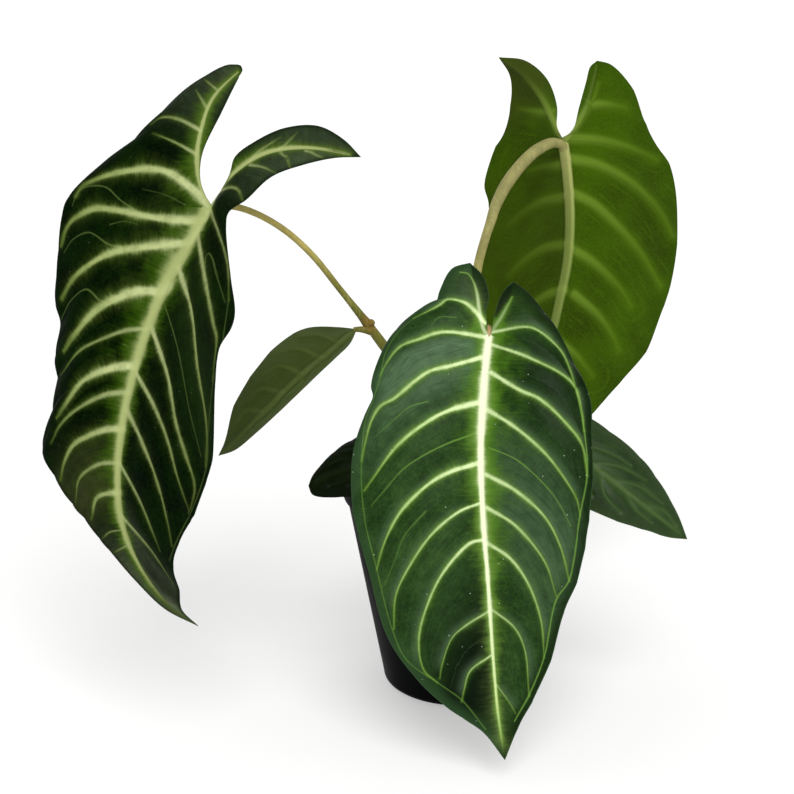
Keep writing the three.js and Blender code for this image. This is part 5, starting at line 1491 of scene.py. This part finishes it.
def stem_piece():
    """Short stem with the scars of old leaves round it."""
    radius, bottom, top = STEM["radius"], STEM["bottom"], STEM["top"]
    heights = np.linspace(bottom + 5, top - 1.5, 70)
    outline = np.interp(heights, [bottom + 5, SOIL_TOP - 4, SOIL_TOP, SOIL_TOP + 3, top - 1.5],
                        [radius - 0.5, radius, radius - 0.6, radius - 1.4, radius - 3])
    scar_depth, scar_spacing = 0.35, 3.1
    outline -= scar_depth * (0.5 + 0.5 * np.cos(heights * 2 * math.pi / scar_spacing)) ** 6
    profile = [[0, bottom], [radius - 4, bottom], *np.c_[outline, heights], [radius - 4.2, top - 0.4],
               [radius - 6, top], [0, top + 0.6]]
    places, faces = turned(profile, 120)
    turn = np.arctan2(places[:, 1], places[:, 0])
    out = np.hypot(places[:, 0], places[:, 1])
    uneven = 1 - 0.012 * (1 + np.sin(3 * turn + 0.4 * places[:, 2])) - 0.008 * (1 + np.sin(11 * turn))
    places[:, :2] *= np.where(out > 4, uneven, 1)[:, None]
    piece = mesh_object("stem_base", places, faces, [stem_material()])
    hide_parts("stem")
    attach(piece, "root")


def floor_piece():
    """A wide pale floor, which gives off some light of its own to keep the shadows soft."""
    g = Graph("floor_paper")
    color = g.mix(g.noise(g.at, 8.0), rgb(202, 202, 201), rgb(207, 207, 206))
    look = g.finish(color=color, roughness=0.9, specular=0.1, glow=rgb(255, 255, 255), glow_strength=0.4)
    half, cells = 16.0, 32
    line = np.linspace(-half, half, cells + 1)
    grid = np.stack([*np.meshgrid(line, line, indexing="ij"), np.zeros((cells + 1, cells + 1))], -1)
    faces = grid_faces(np.arange((cells + 1) ** 2).reshape(cells + 1, cells + 1))
    mesh_object("floor", grid.reshape(-1, 3) / MM, faces[:, ::-1], [look])


for name in STALKS:
    stalk_piece(name)
pot_piece()
soil_piece()
crumbs_piece()
stem_piece()
floor_piece()


def aimed(name, data, direction):
    """An object of the scene that looks along a direction."""
    made = bpy.data.objects.new(name, data)
    made.rotation_mode = "QUATERNION"
    made.rotation_quaternion = Vector(direction).to_track_quat("-Z", "Y")
    bpy.context.scene.collection.objects.link(made)
    return made


# Camera at the eye of the photograph
lens = bpy.data.cameras.new("camera")
lens.lens = 90
lens.sensor_width = 36
lens.clip_end = 20
camera = aimed("camera", lens, SIGHT)
camera.location = Vector(EYE * MM)
bpy.context.scene.camera = camera

# A wide soft window above and behind the camera, and a white sky that is dimmer overhead
sun = bpy.data.lights.new("window", "SUN")
sun.energy = 2.2
sun.angle = math.radians(34)
aimed("window", sun, (-0.12, 1.0, -1.05))

world = bpy.data.worlds.new("studio")
world.use_nodes = True
sky = world.node_tree
toward = sky.nodes.new("ShaderNodeTexCoord").outputs["Generated"]
parts = sky.nodes.new("ShaderNodeSeparateXYZ")
sky.links.new(toward, parts.inputs[0])
level = sky.nodes.new("ShaderNodeMapRange")
level.interpolation_type = "SMOOTHSTEP"
low, high, at_low, at_high = 0.05, 0.45, 1.0, 0.55
for slot, value in zip((1, 2, 3, 4), (low, high, at_low, at_high)):
    level.inputs[slot].default_value = value
sky.links.new(parts.outputs[2], level.inputs[0])
sky.links.new(level.outputs[0], sky.nodes["Background"].inputs[1])
sky.nodes["Background"].inputs[0].default_value = (1.0, 1.0, 1.0, 1.0)
bpy.context.scene.world = world
bpy.context.scene.view_settings.view_transform = "Standard"
